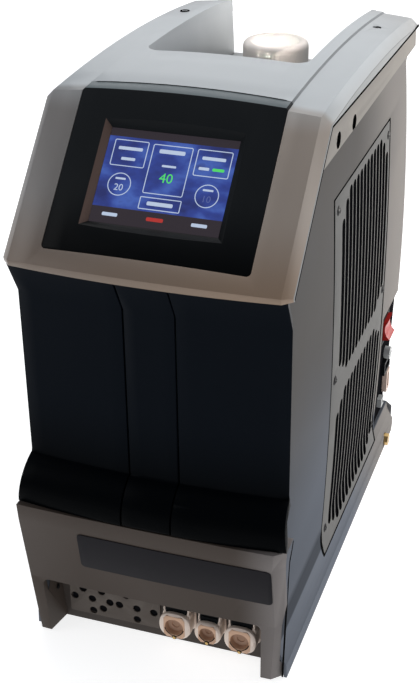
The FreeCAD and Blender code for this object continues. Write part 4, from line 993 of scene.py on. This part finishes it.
@dataclass
class PartingLines:
    """Dark beads along the lower side edges of the shell, at its parting with the sides, painted as
    the shade in the gap there.
    """

    paints: Paints
    face: float = 94.0 * MM
    width: float = 1.7 * MM
    proud: float = 0.12 * MM
    path: tuple[Point, ...] = ((-2.4, 294.6), (75.0, 374.4), (342.6, 366.6))
    bezel: Point = (66.4 * MM, -88.75 * MM)
    web_depth: tuple[float, float] = (84.4 * MM, 85.2 * MM)
    web_reach: tuple[float, float] = (-9.0 * MM, 1.0 * MM)

    def bezel_line(self, shell: bpy.types.Object) -> None:
        """Make the dark line where the bezel ends on the top.

        Args:
            shell: The CAD node of the top shell.
        """
        tree = surface_of(shell)
        half, edge = self.bezel
        front, rear = edge - 0.2 * MM, edge + 0.9 * MM
        rings = []
        for k in range(25):
            x = half * (k / 12 - 1)
            hit = tree.ray_cast(Vector((x, rear + 0.4 * MM, SKY)), -UP)[0]
            low, high = hit.z - 0.5 * MM, hit.z + self.proud
            rings.append([Vector((x, front, low)), Vector((x, rear, low)),
                          Vector((x, rear, high)), Vector((x, front, high))])
        piece = Form.wrap("bezel_bead", Form.loft(rings))
        seam(piece, self.paints)

    def build(self, shell: bpy.types.Object) -> None:
        """Make one bead on each side as painted shade in the gap, and the one behind the bezel.

        Args:
            shell: The CAD node of the top shell.
        """
        self.bezel_line(shell)
        points = [Vector((0, y * MM - MIDDLE, z * MM)) for y, z in self.path]
        ways = [(b - a).normalized() for a, b in zip(points, points[1:])]
        for side, label in SIDES:
            rings = []
            for k, point in enumerate(points):
                way = (ways[max(k - 1, 0)] + ways[min(k, len(ways) - 1)]).normalized()
                rise = Vector((0, -way.z, way.y)) * self.width
                inner = Vector((side * (self.face - 0.3 * MM), 0, 0))
                outer = Vector((side * (self.face + self.proud), 0, 0))
                rings.append([point + inner, point + outer, point + outer + rise,
                              point + inner + rise])
            piece = Form.wrap("parting_bead_" + label, Form.loft(rings))
            seam(piece, self.paints)
            self.web(side, label, points[0], points[1])

    def web(self, side: int, label: str, low: Vector, high: Vector) -> None:
        """Make the dark inner web that closes the gap under the slanted edge, as painted shade in
        the gap.

        Args:
            side: 1 for the right side, -1 for the left.
            label: Name of the side.
            low: Lower end of the slanted edge.
            high: Upper end of the slanted edge.
        """
        way = (high - low).normalized()
        across = Vector((0, -way.z, way.y))
        start = low + way * 1.0 * MM
        rings = []
        for depth in self.web_depth:
            inward = Vector((side * depth, 0, 0))
            rings.append([point + across * reach + inward for point, reach in
                          ((start, self.web_reach[0]), (high, self.web_reach[0]),
                           (high, self.web_reach[1]), (start, self.web_reach[1]))])
        piece = Form.wrap("parting_web_" + label, Form.loft(rings))
        seam(piece, self.paints)


@dataclass
class Screws:
    """Pan-head screws with a cross recess."""

    paints: Paints
    radius: float = 3.4 * MM
    height: float = 1.5 * MM
    arm: float = 1.9 * MM
    slot: float = 0.42 * MM

    def head(self, name: str, place: Matrix, scale: float = 1.0) -> None:
        """Add one screw head.

        Args:
            name: Name of the piece.
            place: Matrix whose z axis points out of the surface.
            scale: Size of the head against the standard one.
        """
        a, s = self.arm, self.slot
        cross = [(a, s), (s, s), (s, a), (-s, a), (-s, s), (-a, s),
                 (-a, -s), (-s, -s), (-s, -a), (s, -a), (s, -s), (a, -s)]
        bm = Form.pierced(Form.disc(0, 0, self.radius, 32), [cross], self.height)
        floor = [bm.verts.new((x, y, 0.3 * self.height)) for x, y in cross]
        bm.faces.new(floor)
        for vert in bm.verts:
            reach = math.hypot(vert.co.x, vert.co.y) / self.radius
            if vert.co.z > 0.9 * self.height:
                vert.co.z -= 0.62 * self.height * reach ** 4
        bmesh.ops.transform(bm, matrix=place @ Matrix.Scale(scale, 4), verts=bm.verts)
        on_body(Form.wrap(name, bm, 40.0), "machine", "vent_light", self.paints["screw_dark"])


@dataclass
class SideVents:
    """Slotted vent plates of both sides, with their screws."""

    paints: Paints
    screws: Screws
    slots: int = 14
    pitch: float = 10.4 * MM
    width: float = 8.4 * MM
    first: float = 143.5 * MM
    thick: float = 0.8 * MM
    fit: tuple[float, float] = (2.6 * MM, 1.2 * MM)
    edges: tuple[float, float, float, float] = (0.1165, 0.290, 0.020, 0.310)
    screw_y: tuple[float, float] = (0.1286, 0.283)
    screw_z: tuple[float, float, float] = (0.0385, 0.168, 0.298)
    belly: tuple[float, float] = (0.0896, 0.180)
    waist: tuple[float, float] = (0.0864, 0.042)
    foot: tuple[float, float] = (0.0899, 0.020)
    sink: float = 0.3 * MM
    behind: float = 1.4 * MM

    def face(self, z: float) -> float:
        """Return the plate's outer face at a height."""
        if z < self.waist[1]:
            share = (self.waist[1] - z) / (self.waist[1] - self.foot[1])
            return self.waist[0] + (self.foot[0] - self.waist[0]) * share ** 2 - self.sink
        share = (z - self.belly[1]) / (self.waist[1] - self.belly[1])
        return self.belly[0] - (self.belly[0] - self.waist[0]) * share ** 2 - self.sink

    def ends(self, index: int) -> list[Point]:
        """Return the lower and the upper slot's ends; the outer slots are shorter."""
        rank = min(index, self.slots - 1 - index)
        lower = {0: (0.033, 0.132), 1: (0.029, 0.138)}.get(rank, (0.025, 0.144))
        upper = {0: (0.172, 0.286), 1: (0.166, 0.297)}.get(rank, (0.160, 0.303))
        return [lower, upper]

    def levels(self) -> list[float]:
        """Return the heights at which plates are divided, to be bent."""
        return [self.edges[2] + 12 * MM * k for k in range(1, 25)]

    def lay(self, side: int, depth: float) -> Callable:
        """Return the bend that lays a plate on one side, some depth below the face.

        Args:
            side: 1 for the right side, -1 for the left.
            depth: Depth of the plate's back below the outer face.

        Returns:
            A function of y, z and height over the back.
        """
        return lambda y, z, out: (side * (self.face(z) - depth + out), y - MIDDLE, z)

    def plate(self, side: int, label: str) -> bpy.types.Object:
        """Make one plate.

        Args:
            side: 1 for the right side, -1 for the left.
            label: Name of the side.

        Returns:
            The plate, in place.
        """
        outline = Form.inset(self.edges, 2 * self.fit[0], 2 * self.fit[1], 1.5 * MM, 3)
        holes = []
        for index in range(self.slots):
            y = self.first + self.pitch * index
            for low, high in self.ends(index):
                holes.append(Form.panel(y, (low + high) / 2, self.width, high - low,
                                        self.width / 2 - 0.01 * MM, 5))
        bm = Form.pierced(outline, holes, self.thick, self.levels())
        Form.bent(bm, self.lay(side, self.thick))
        return Form.bevelled(Form.wrap("vent_grille_" + label, bm), 0.12 * MM, 2, 50.0)

    def filter(self, side: int, label: str) -> None:
        """Make the dark sheet behind one plate, painted shade seen through its slots."""
        outline = Form.inset(self.edges, 8 * MM, 8 * MM, 3 * MM, 3)
        bm = Form.pierced(outline, [], 0.6 * MM, self.levels())
        Form.bent(bm, self.lay(side, self.thick + self.behind))
        piece = Form.wrap("air_filter_" + label, bm)
        on_body(piece, "machine", "plate_dark", self.paints["inner_dark"])

    def gasket(self, side: int, label: str) -> None:
        """Make the dark gasket round one plate."""
        outer = Form.inset(self.edges, 0.4 * MM, 0.4 * MM, 1.5 * MM, 3)
        inner = Form.inset(self.edges, 2 * self.fit[0] + 0.2 * MM,
                           2 * self.fit[1] + 0.2 * MM, 1.5 * MM, 3)
        bm = Form.pierced(outer, [inner], 0.9 * MM, self.levels())
        Form.bent(bm, self.lay(side, 0.7 * MM))
        piece = Form.wrap("vent_gasket_" + label, bm)
        on_body(piece, "machine", "plate_dark", self.paints["seam_and_gap_shade"])

    def shade_slots(self, plate: bpy.types.Object) -> None:
        """Paint the walls of the slots near black, as painted shade inside them."""
        plate.data.materials.append(self.paints["inner_dark"])
        for face in plate.data.polygons:
            if abs(face.normal.x) < 0.5:
                face.material_index = 1

    def build(self) -> None:
        """Make both plates and their screws."""
        for side, label in SIDES:
            plate = self.plate(side, label)
            on_body(plate, "machine", "vent_light", self.paints["vent_light"],
                    ("vent_plate_" + label,))
            self.shade_slots(plate)
            self.filter(side, label)
            self.gasket(side, label)
            for row, z in enumerate(self.screw_z):
                for column, y in enumerate(self.screw_y):
                    spot = Vector((side * (self.face(z) - 0.1 * MM), y - MIDDLE, z))
                    place = aim(Vector((side, 0, 0)), UP, spot)
                    self.screws.head(f"vent_screw_{label}_{row}_{column}", place)


@dataclass
class Couplings:
    """Latching hose couplings in the arch, with their ribbed thumb pads."""

    paints: Paints
    places: tuple[tuple[float, float], ...] = ((12.0, 23.3), (36.2, 19.2), (59.9, 23.3))
    height: float = 25.5 * MM
    tall: float = 0.93
    bore: float = 0.305
    neck: float = 0.44
    cheek: float = 0.335
    liner: float = 0.285
    pad: float = 0.34
    window: float = 0.584
    mouth: float = -169.55 * MM
    travel: float = 2.6 * MM
    wall: float = -153.55 * MM
    sides: int = 64

    def ring(self, x: float, y: float, half: float, power: float,
             tall: float = 1.0) -> list[Vector]:
        """Return one ring about a coupling's axis."""
        return [Vector((x + a, y, self.height + b * tall))
                for a, b in Form.squircle(half, power, self.sides)]

    def body(self, index: int, x: float, width: float) -> None:
        """Make one coupling's moulded body with its bore."""
        half, bore = width / 2, width * self.bore
        y = self.mouth
        steps = [(self.wall, half * 0.96, 6.0, 1.0), (self.wall - 1.6 * MM, half * 0.96, 6.0, 1.0),
                 (self.wall - 2.2 * MM, width * self.neck, 6.0, 1.0),
                 (y + 5.4 * MM, width * self.neck, 6.0, 1.0),
                 (y + 4.8 * MM, half * 0.92, 2.9, self.tall),
                 (y + 2.6 * MM, half * 0.99, 2.5, self.tall),
                 (y + 1.2 * MM, half * 0.98, 2.4, self.tall),
                 (y, half * 0.86, 2.3, self.tall), (y, half * 0.68, 2.1, 1.0),
                 (y + 0.5 * MM, half * 0.66, 2.0, 1.0), (y + 1.0 * MM, bore, 2.0, 1.0),
                 (y + 10.0 * MM, bore * 0.97, 2.0, 1.0)]
        rings = [self.ring(x, at, size, power, tall) for at, size, power, tall in steps]
        piece = Form.wrap(f"coupling_body_{index}", Form.loft(rings), 40.0)
        on_body(piece, "machine", "coupling_cream", self.paints["coupling_ring"],
                (f"coupling_{index}",))

    def face(self, index: int, x: float, width: float) -> None:
        """Make the tan middle of the collar, painted darker than its pale cheeks as painted shade.
        """
        rim = width * 0.5 * self.tall * 0.84
        side = width * self.cheek
        corner = [(side, -rim * 0.72), (side, rim * 0.72), (side * 0.72, rim),
                  (-side * 0.72, rim), (-side, rim * 0.72), (-side, -rim * 0.72),
                  (-side * 0.72, -rim), (side * 0.72, -rim)]
        outline = [(x + a, self.height + b) for a, b in corner]
        bm = Form.pierced(outline, [Form.disc(x, self.height, width * self.liner, 40)],
                          0.9 * MM)
        Form.bent(bm, lambda across, up, out: (across, self.mouth + 0.6 * MM - out, up))
        piece = Form.bevelled(Form.wrap(f"coupling_face_{index}", bm), 0.25 * MM, 2, 50.0)
        on_body(piece, "machine", "coupling_cream", self.paints["coupling_cream"])

    def sleeve(self, index: int, x: float, width: float) -> None:
        """Make the sleeve in the bore, painted dark brown as the shade inside it, with the dark part
        line under it and the brass stop pin.
        """
        bore = width * self.liner
        y = self.mouth
        steps = [(y + 9.5 * MM, bore * 0.99, 2.0), (y + 0.4 * MM, bore * 0.99, 2.0),
                 (y + 0.2 * MM, bore * 0.96, 2.0), (y + 1.0 * MM, bore * 0.92, 2.0),
                 (y + 3.2 * MM, bore * 0.86, 2.0), (y + 3.6 * MM, bore * 0.45, 2.0),
                 (y + 4.2 * MM, bore * 0.40, 2.0), (y + 4.2 * MM, bore * 0.05, 2.0)]
        rings = [self.ring(x, at, size, power) for at, size, power in steps]
        piece = Form.wrap(f"coupling_sleeve_{index}", Form.loft(rings), 40.0)
        on_body(piece, "machine", "coupling_cream", self.paints["coupling_bore_shade"])
        points = []
        for k in range(25):
            angle = math.radians(-90 + (k - 12) * 6.6)
            reach = width * (0.300 + 0.035 * math.exp(-((k - 12) / 3.0) ** 2))
            points.append(Vector((x + reach * math.cos(angle), y - 0.34 * MM,
                                  self.height + reach * math.sin(angle))))
        self.thread(f"coupling_line_{index}", points, 0.32 * MM, "seam_and_gap_shade")
        low = self.height - width * 0.375
        profile = [(0.0001 * MM, 0.0), (1.15 * MM, 0.0), (1.2 * MM, 0.5 * MM),
                   (0.9 * MM, 0.9 * MM), (0.0001 * MM, 1.0 * MM)]
        for label, lift, scale, paint in (("collar", -0.1 * MM, 1.45, "seam_and_gap_shade"),
                                          ("pin", 0.35 * MM, 1.0, "brass")):
            bm = Form.turned([(r * scale, z) for r, z in profile], 16)
            place = aim(FRONT, UP, Vector((x, y - lift, low)))
            bmesh.ops.transform(bm, matrix=place, verts=bm.verts)
            on_body(Form.wrap(f"coupling_{label}_{index}", bm), "machine", "brass",
                    self.paints[paint])

    def thread(self, name: str, points: list[Vector], radius: float, paint: str) -> None:
        """Make a thin line of round section through points."""
        rings = []
        for k, point in enumerate(points):
            way = points[min(k + 1, len(points) - 1)] - points[max(k - 1, 0)]
            side = way.cross(Vector((0, 1, 0))).normalized()
            out = Vector((0, 1, 0))
            rings.append([point + side * radius * math.cos(t) + out * radius * math.sin(t)
                          for t in (math.tau * s / 6 for s in range(6))])
        on_body(Form.wrap(name, Form.loft(rings), 60.0), "machine", "latch_black",
                self.paints[paint])

    def latch(self, index: int, x: float, width: float) -> None:
        """Make the sliding latch plate and its ribbed pad."""
        y = self.mouth
        half = width * self.pad
        crown = self.height + width * self.neck + 2.6 * MM
        low = self.height - width * 0.40 + 2.6 * MM
        profile = [(y + 5.0 * MM, crown), (y + 12.0 * MM, crown), (y + 13.0 * MM, crown + 5.2 * MM)]
        ribs = 3
        for k in range(ribs):
            at = y + 12.2 * MM - k * 2.0 * MM
            top = crown + 5.4 * MM
            profile += [(at, top), (at - 0.9 * MM, top), (at - 1.1 * MM, top - 0.8 * MM),
                        (at - 1.7 * MM, top - 0.8 * MM)]
        profile.append((y + 5.6 * MM, crown + 4.8 * MM))
        rings = [[Vector((x + side * half, a, b)) for a, b in profile] for side in (-1, 1)]
        pad = Form.bevelled(Form.wrap(f"latch_pad_{index}", Form.loft(rings)), 0.25 * MM, 2)
        on_body(pad, f"latch_plate_{index}", "latch_black", self.paints["latch_black"],
                (f"latch_{index}",))
        middle = (low + crown) / 2 + 0.2 * MM
        bm = Form.pierced(Form.panel(x, middle, 2 * half - 0.6 * MM, crown - low + 0.6 * MM,
                                     1.0 * MM, 3),
                          [Form.panel(x, self.height + self.travel / 2, width * self.window,
                                      width * self.window + self.travel, width * self.liner, 12)],
                          1.7 * MM)
        Form.bent(bm, lambda across, up, deep: (across, y + 4.35 * MM + deep, up))
        blade = Form.wrap(f"latch_blade_{index}", bm)
        on_body(blade, f"latch_plate_{index}", "latch_black", self.paints["latch_black"])

    def guards(self, index: int, x: float, width: float) -> None:
        """Make the two low walls beside the thumb pad."""
        y = self.mouth
        foot = self.height + width * self.neck - 0.6 * MM
        for side, label in reversed(SIDES):
            near = x + side * (width * self.pad + 0.35 * MM)
            profile = [(y + 4.6 * MM, foot), (y + 12.6 * MM, foot), (y + 12.6 * MM, foot + 5.6 * MM),
                       (y + 7.0 * MM, foot + 6.6 * MM), (y + 4.6 * MM, foot + 2.4 * MM)]
            rings = [[Vector((a, b, c)) for b, c in profile] for a in (near, near + side * 1.1 * MM)]
            piece = Form.bevelled(Form.wrap(f"latch_guard_{index}_{label}", Form.loft(rings)),
                                  0.25 * MM, 2)
            on_body(piece, "machine", "coupling_cream", self.paints["coupling_ring"])

    def build(self) -> None:
        """Make all three couplings."""
        for index, (x, width) in enumerate(self.places, start=1):
            for make in (self.body, self.face, self.sleeve, self.latch, self.guards):
                make(index, x * MM, width * MM)


@dataclass
class FrontTrim:
    """Bare name plate, port plate and small screws of the front."""

    paints: Paints
    screws: Screws
    plate: tuple[float, float, float, float] = (-0.0518, 0.0856, 0.0702, 0.1010)
    port: tuple[float, float, float, float] = (-0.074, -0.004, 0.008, 0.044)
    port_face: float = -155.05 * MM
    seam: tuple[Point, ...] = ((-169.0, 2.5), (-169.0, 80.0), (-168.2, 92.0), (-166.8, 100.0),
                               (-163.4, 110.0), (-163.1, 115.0))
    hole: float = 2.9 * MM
    leg_screw: Colour = (-0.0810, -0.1590, 0.0300)
    holes: tuple[Point, ...] = ((-63.5, 29.5), (-70.2, 21.9), (-56.5, 22.0), (-42.8, 21.8),
                                (-35.4, 21.7), (-48.2, 14.9), (-56.0, 11.6), (-21.9, 21.6),
                                (-8.9, 21.2), (-21.9, 11.9), (-49.0, 30.0), (-30.0, 31.5))

    def name_plate(self, base: bpy.types.Object) -> None:
        """Make the bare plate, laid on the bowed base.

        Args:
            base: The CAD node of the base front.
        """
        x0, x1 = self.plate[:2]
        outline = Form.inset(self.plate, 0.0, 0.0, 3.2 * MM)
        bm = Form.pierced(outline, [], 0.6 * MM)
        for k in range(1, 28):
            bmesh.ops.bisect_plane(bm, geom=bm.verts[:] + bm.edges[:] + bm.faces[:], dist=WEB,
                                   plane_co=(x0 + (x1 - x0) * k / 28, 0, 0), plane_no=(1, 0, 0))
        tree = surface_of(base)
        for vert in bm.verts:
            x, z, out = vert.co
            hit = tree.ray_cast(Vector((x, -0.4, z)), Vector((0, 1, 0)))[0]
            vert.co = (x, hit.y - out - 0.05 * MM, z)
        piece = Form.bevelled(Form.wrap("plain_plate", bm), 0.25 * MM, 2, 50.0)
        on_body(piece, "machine", "panel_black", self.paints["plate_black"], ("name_plate",))

    def port_plate(self) -> None:
        """Make the port plate with its round holes."""
        outline = Form.inset(self.port, 0.0, 0.0, 1.5 * MM, 3)
        holes = [Form.disc(x * MM, z * MM, self.hole, 28) for x, z in self.holes]
        bm = Form.pierced(outline, holes, 1.5 * MM)
        Form.bent(bm, lambda x, z, out: (x, self.port_face + 1.5 * MM - out, z))
        piece = Form.bevelled(Form.wrap("breather_plate", bm), 0.25 * MM, 2, 50.0)
        on_body(piece, "machine", "plate_dark", self.paints["port_taupe"], ("port_plate",))
        # A dark sheet behind the holes, painted shade seen through them.
        outline = Form.inset(self.port, 4 * MM, 4 * MM, 1.5 * MM, 3)
        bm = Form.pierced(outline, [], 0.3 * MM)
        Form.bent(bm, lambda x, z, out: (x, self.port_face + 1.3 * MM - out, z))
        on_body(Form.wrap("breather_hole_shade", bm), "machine", "plate_dark",
                self.paints["inner_dark"])

    def corner_seams(self, base: bpy.types.Object) -> None:
        """Make the dark lines between the base's rear corners and the side panels, as painted shade
        in the gap there.

        Args:
            base: The CAD node of the base front.
        """
        tree = surface_of(base)
        radius = 0.65 * MM
        for side, label in SIDES:
            rings = []
            for y, z in self.seam:
                hit = tree.find_nearest(Vector((side * 94.5 * MM, y * MM, z * MM)))[0]
                spot = Vector((hit.x - side * 0.2 * MM, y * MM, z * MM))
                rings.append([spot + Vector((radius * math.cos(t), radius * math.sin(t), 0))
                              for t in (math.tau * k / 8 for k in range(8))])
            piece = Form.wrap("base_gasket_" + label, Form.loft(rings), 60.0)
            seam(piece, self.paints)

    def build(self, base: bpy.types.Object) -> None:
        """Make the trim of the front.

        Args:
            base: The CAD node of the base front.
        """
        self.name_plate(base)
        self.port_plate()
        self.corner_seams(base)
        place = aim(Vector((1, 0, 0)), UP, Vector(self.leg_screw))
        self.screws.head("leg_screw", place, 0.6)


@dataclass
class Reservoir:
    """Filler cap with grip ribs, and the screws of the rails beside the well."""

    paints: Paints
    screws: Screws
    at: Vector = field(default_factory=lambda: Vector((0.0, 0.10225, 0.345)))
    radius: float = 24.7 * MM
    height: float = 22.0 * MM
    dish: tuple[float, float] = (2.2 * MM, 3.7 * MM)
    rail: Point = (74.3 * MM, 108.25 * MM)
    shift: float = 4.0 * MM
    ribs: int = 56

    def cap(self) -> None:
        """Make the cap."""
        sides = self.ribs * 6
        profile = [(0.80, 0.0), (0.83, -0.2), (0.98, 0.0), (1.0, 0.6), (1.0, 2.0),
                   (1.0, 16.5), (0.995, 18.4), (0.975, 20.2), (0.93, 21.4), (0.87, 21.9),
                   (0.80, 22.0), (0.74, 21.9), (0.72, 21.5), (0.69, 21.3), (0.35, 21.3),
                   (0.01, 21.35)]
        rings = []
        for share, z in profile:
            ribbed = 2.0 <= z <= 16.6
            ring = []
            for k in range(sides):
                angle = math.tau * k / sides
                groove = 0.16 * MM * max(0.0, math.cos(self.ribs * angle)) if ribbed else 0.0
                reach = self.radius * share - groove
                ring.append(Vector((reach * math.cos(angle), reach * math.sin(angle),
                                    max(z, 0.0) * MM)) + self.at)
            rings.append(ring)
        piece = Form.wrap("ribbed_cap", Form.loft(rings), 50.0)
        on_body(piece, "cap", "cap_white", self.paints["cap_white"], ("filler_cap",))

    def build(self, shell: bpy.types.Object) -> None:
        """Make the cap and the rail screws.

        Args:
            shell: The CAD node of the top shell.
        """
        self.cap()
        tree = surface_of(shell)
        for side, label in reversed(SIDES):
            x, y = side * self.rail[0], self.rail[1]
            hit = tree.ray_cast(Vector((x + self.shift, y, SKY)), -UP)[0]
            spot = Vector((x, y, hit.z - 1.1 * MM))
            place = aim(UP, -FRONT, spot)
            self.screws.head("rail_screw_" + label, place, 0.72)
            bm = Form.pierced(Form.disc(0, 0, self.dish[1], 40),
                              [Form.disc(0, 0, self.dish[0], 40)], 0.3 * MM)
            bmesh.ops.transform(bm, verts=bm.verts,
                                matrix=aim(UP, -FRONT, hit + Vector((-self.shift, 0, -0.1 * MM))))
            on_body(Form.wrap("rail_dish_" + label, bm), "machine", "vent_light",
                    self.paints["seam_and_gap_shade"])


@dataclass
class Underside:
    """Round rubber feet."""

    paints: Paints
    places: tuple[Point, ...] = ((-0.066, -0.12975), (0.066, -0.12975),
                                 (-0.066, 0.14825), (0.066, 0.14825))

    def build(self) -> None:
        """Make the four feet as one piece each."""
        profile = [(0.001, 6.0), (9.0, 6.0), (9.0, 2.2), (8.4, 0.6), (7.4, 0.0), (4.4, 0.0),
                   (4.0, 0.5), (3.0, 0.6), (0.001, 0.6)]
        for index, (x, y) in enumerate(self.places):
            bm = Form.turned([(r * MM, z * MM) for r, z in profile], 40)
            bmesh.ops.translate(bm, verts=bm.verts, vec=(x, y, 0))
            piece = Form.wrap(f"round_foot_{index}", bm, 40.0)
            replaced = ("rubber_feet",) if index == 0 else ()
            on_body(piece, "machine", "rubber_black", self.paints["rubber_black"], replaced)


@dataclass
class Studio:
    """Pale floor, soft lights and the camera."""

    camera_at: Vector = field(default_factory=lambda: Vector((0.2785, -0.85515, 0.6506)))
    yaw: float = 19.16
    pitch: float = -28.45
    roll: float = 0.47
    lens: float = 71.24
    table: float = 1.55
    sky: tuple[float, float, float, float] = (0.86, 0.90, 1.0, 1.0)
    sky_strength: float = 0.32
    lamps: tuple[tuple, ...] = (
        ("back_box", (0.2, 2.2, 1.15), (3.2, 1.4), 14.0),
        ("top_box", (-0.2, 0.7, 2.2), (1.8, 1.4), 21.0),
        ("rear_right_box", (0.40, 0.40, 0.24), (0.3, 0.3), 2.0, (0.09, 0.15, 0.2),
         (1.0, 0.96, 0.91)),
        ("cap_spot", (-0.15, -1.0, 1.15), (0.03, 0.03), 0.0068, (0.0, 0.107, 0.362),
         (1.0, 0.90, 0.82), 2.8),
        ("left_box", (-1.6, -1.0, 1.2), (1.0, 1.2), 7.0),
        ("right_box", (2.0, 0.3, 0.9), (1.4, 1.2), 12.0))

    def floor(self) -> None:
        """Lay the pale floor."""
        bm = bmesh.new()
        bmesh.ops.create_grid(bm, x_segments=2, y_segments=2, size=6.0)
        piece = Form.wrap("studio_floor", bm)
        shader = Shader("floor_lit")
        tone = shader.mix(shader.noise(0.8, 2.0), (0.50, 0.50, 0.50), (0.53, 0.53, 0.53))
        shader.set(Base_Color=tone, Roughness=0.8, Emission_Color=tone)
        shader.set(Specular_IOR_Level=0.1, Emission_Strength=self.table)
        piece.data.materials.append(shader.material)
        piece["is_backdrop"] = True

    def lamp(self, name: str, at: Colour, size: tuple[float, float], power: float,
             target: Colour = (0.0, 0.0, 0.2), tone: Colour = (1, 1, 1),
             spread: float = 180.0) -> None:
        """Add one soft rectangular light.

        Args:
            name: Name of the light.
            at: Its place.
            size: Width and height.
            power: Power in watts.
            target: The point that it faces.
            tone: Its colour.
            spread: Angle that its beam is held to, in degrees.
        """
        light = bpy.data.lights.new(name, "AREA")
        light.spread = math.radians(spread)
        light.shape = "RECTANGLE"
        light.size, light.size_y = size
        light.energy = power
        light.color = tone
        lamp = bpy.data.objects.new(name, light)
        lamp.location = at
        way = Vector(target) - Vector(at)
        lamp.rotation_euler = way.to_track_quat("-Z", "Y").to_euler()
        lamp.visible_camera = False
        bpy.context.scene.collection.objects.link(lamp)

    def lights(self) -> None:
        """Set the soft studio light."""
        for lamp in self.lamps:
            self.lamp(*lamp)
        world = bpy.data.worlds.new("studio")
        bpy.context.scene.world = world
        world.use_nodes = True
        backdrop = world.node_tree.nodes["Background"]
        backdrop.inputs["Color"].default_value = self.sky
        backdrop.inputs["Strength"].default_value = self.sky_strength

    def camera(self) -> None:
        """Set the camera."""
        turn = (Matrix.Rotation(math.radians(self.yaw), 3, "Z")
                @ Matrix.Rotation(math.radians(self.pitch), 3, "X")
                @ Matrix.Rotation(math.radians(self.roll), 3, "Y"))
        across, forward, up = turn.col[0], turn.col[1], turn.col[2]
        view = Matrix((across, up, -forward)).transposed().to_4x4()
        data = bpy.data.cameras.new("camera")
        data.lens = self.lens
        data.sensor_width = 36.0
        data.clip_start = 0.05
        camera = bpy.data.objects.new("camera", data)
        camera.matrix_world = Matrix.Translation(self.camera_at) @ view
        bpy.context.scene.collection.objects.link(camera)
        bpy.context.scene.camera = camera
        bpy.context.scene.view_settings.view_transform = "Standard"

    def build(self) -> None:
        """Set the whole studio."""
        self.floor()
        self.lights()
        self.camera()


def main() -> dict:
    """Build the machine's looks in order.

    Returns:
        The corners of the CAD box, to compare the finished model with.
    """
    logging.basicConfig(level=logging.INFO, format="%(message)s")
    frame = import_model()
    cad_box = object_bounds()
    nodes = frame["nodes"]
    low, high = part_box("display_glass")
    centre = (low + high) / 2
    paints = Paints(centre)
    screws = Screws(paints)
    Carried(paints).dress(nodes)
    Casing(paints).build()
    Display(paints, centre).build()
    PartingLines(paints).build(nodes["top_shell"])
    SideVents(paints, screws).build()
    Couplings(paints).build()
    FrontTrim(paints, screws).build(nodes["base_front"])
    Reservoir(paints, screws).build(nodes["top_shell"])
    Underside(paints).build()
    Studio().build()
    return cad_box


if __name__ == "__main__":
    main()
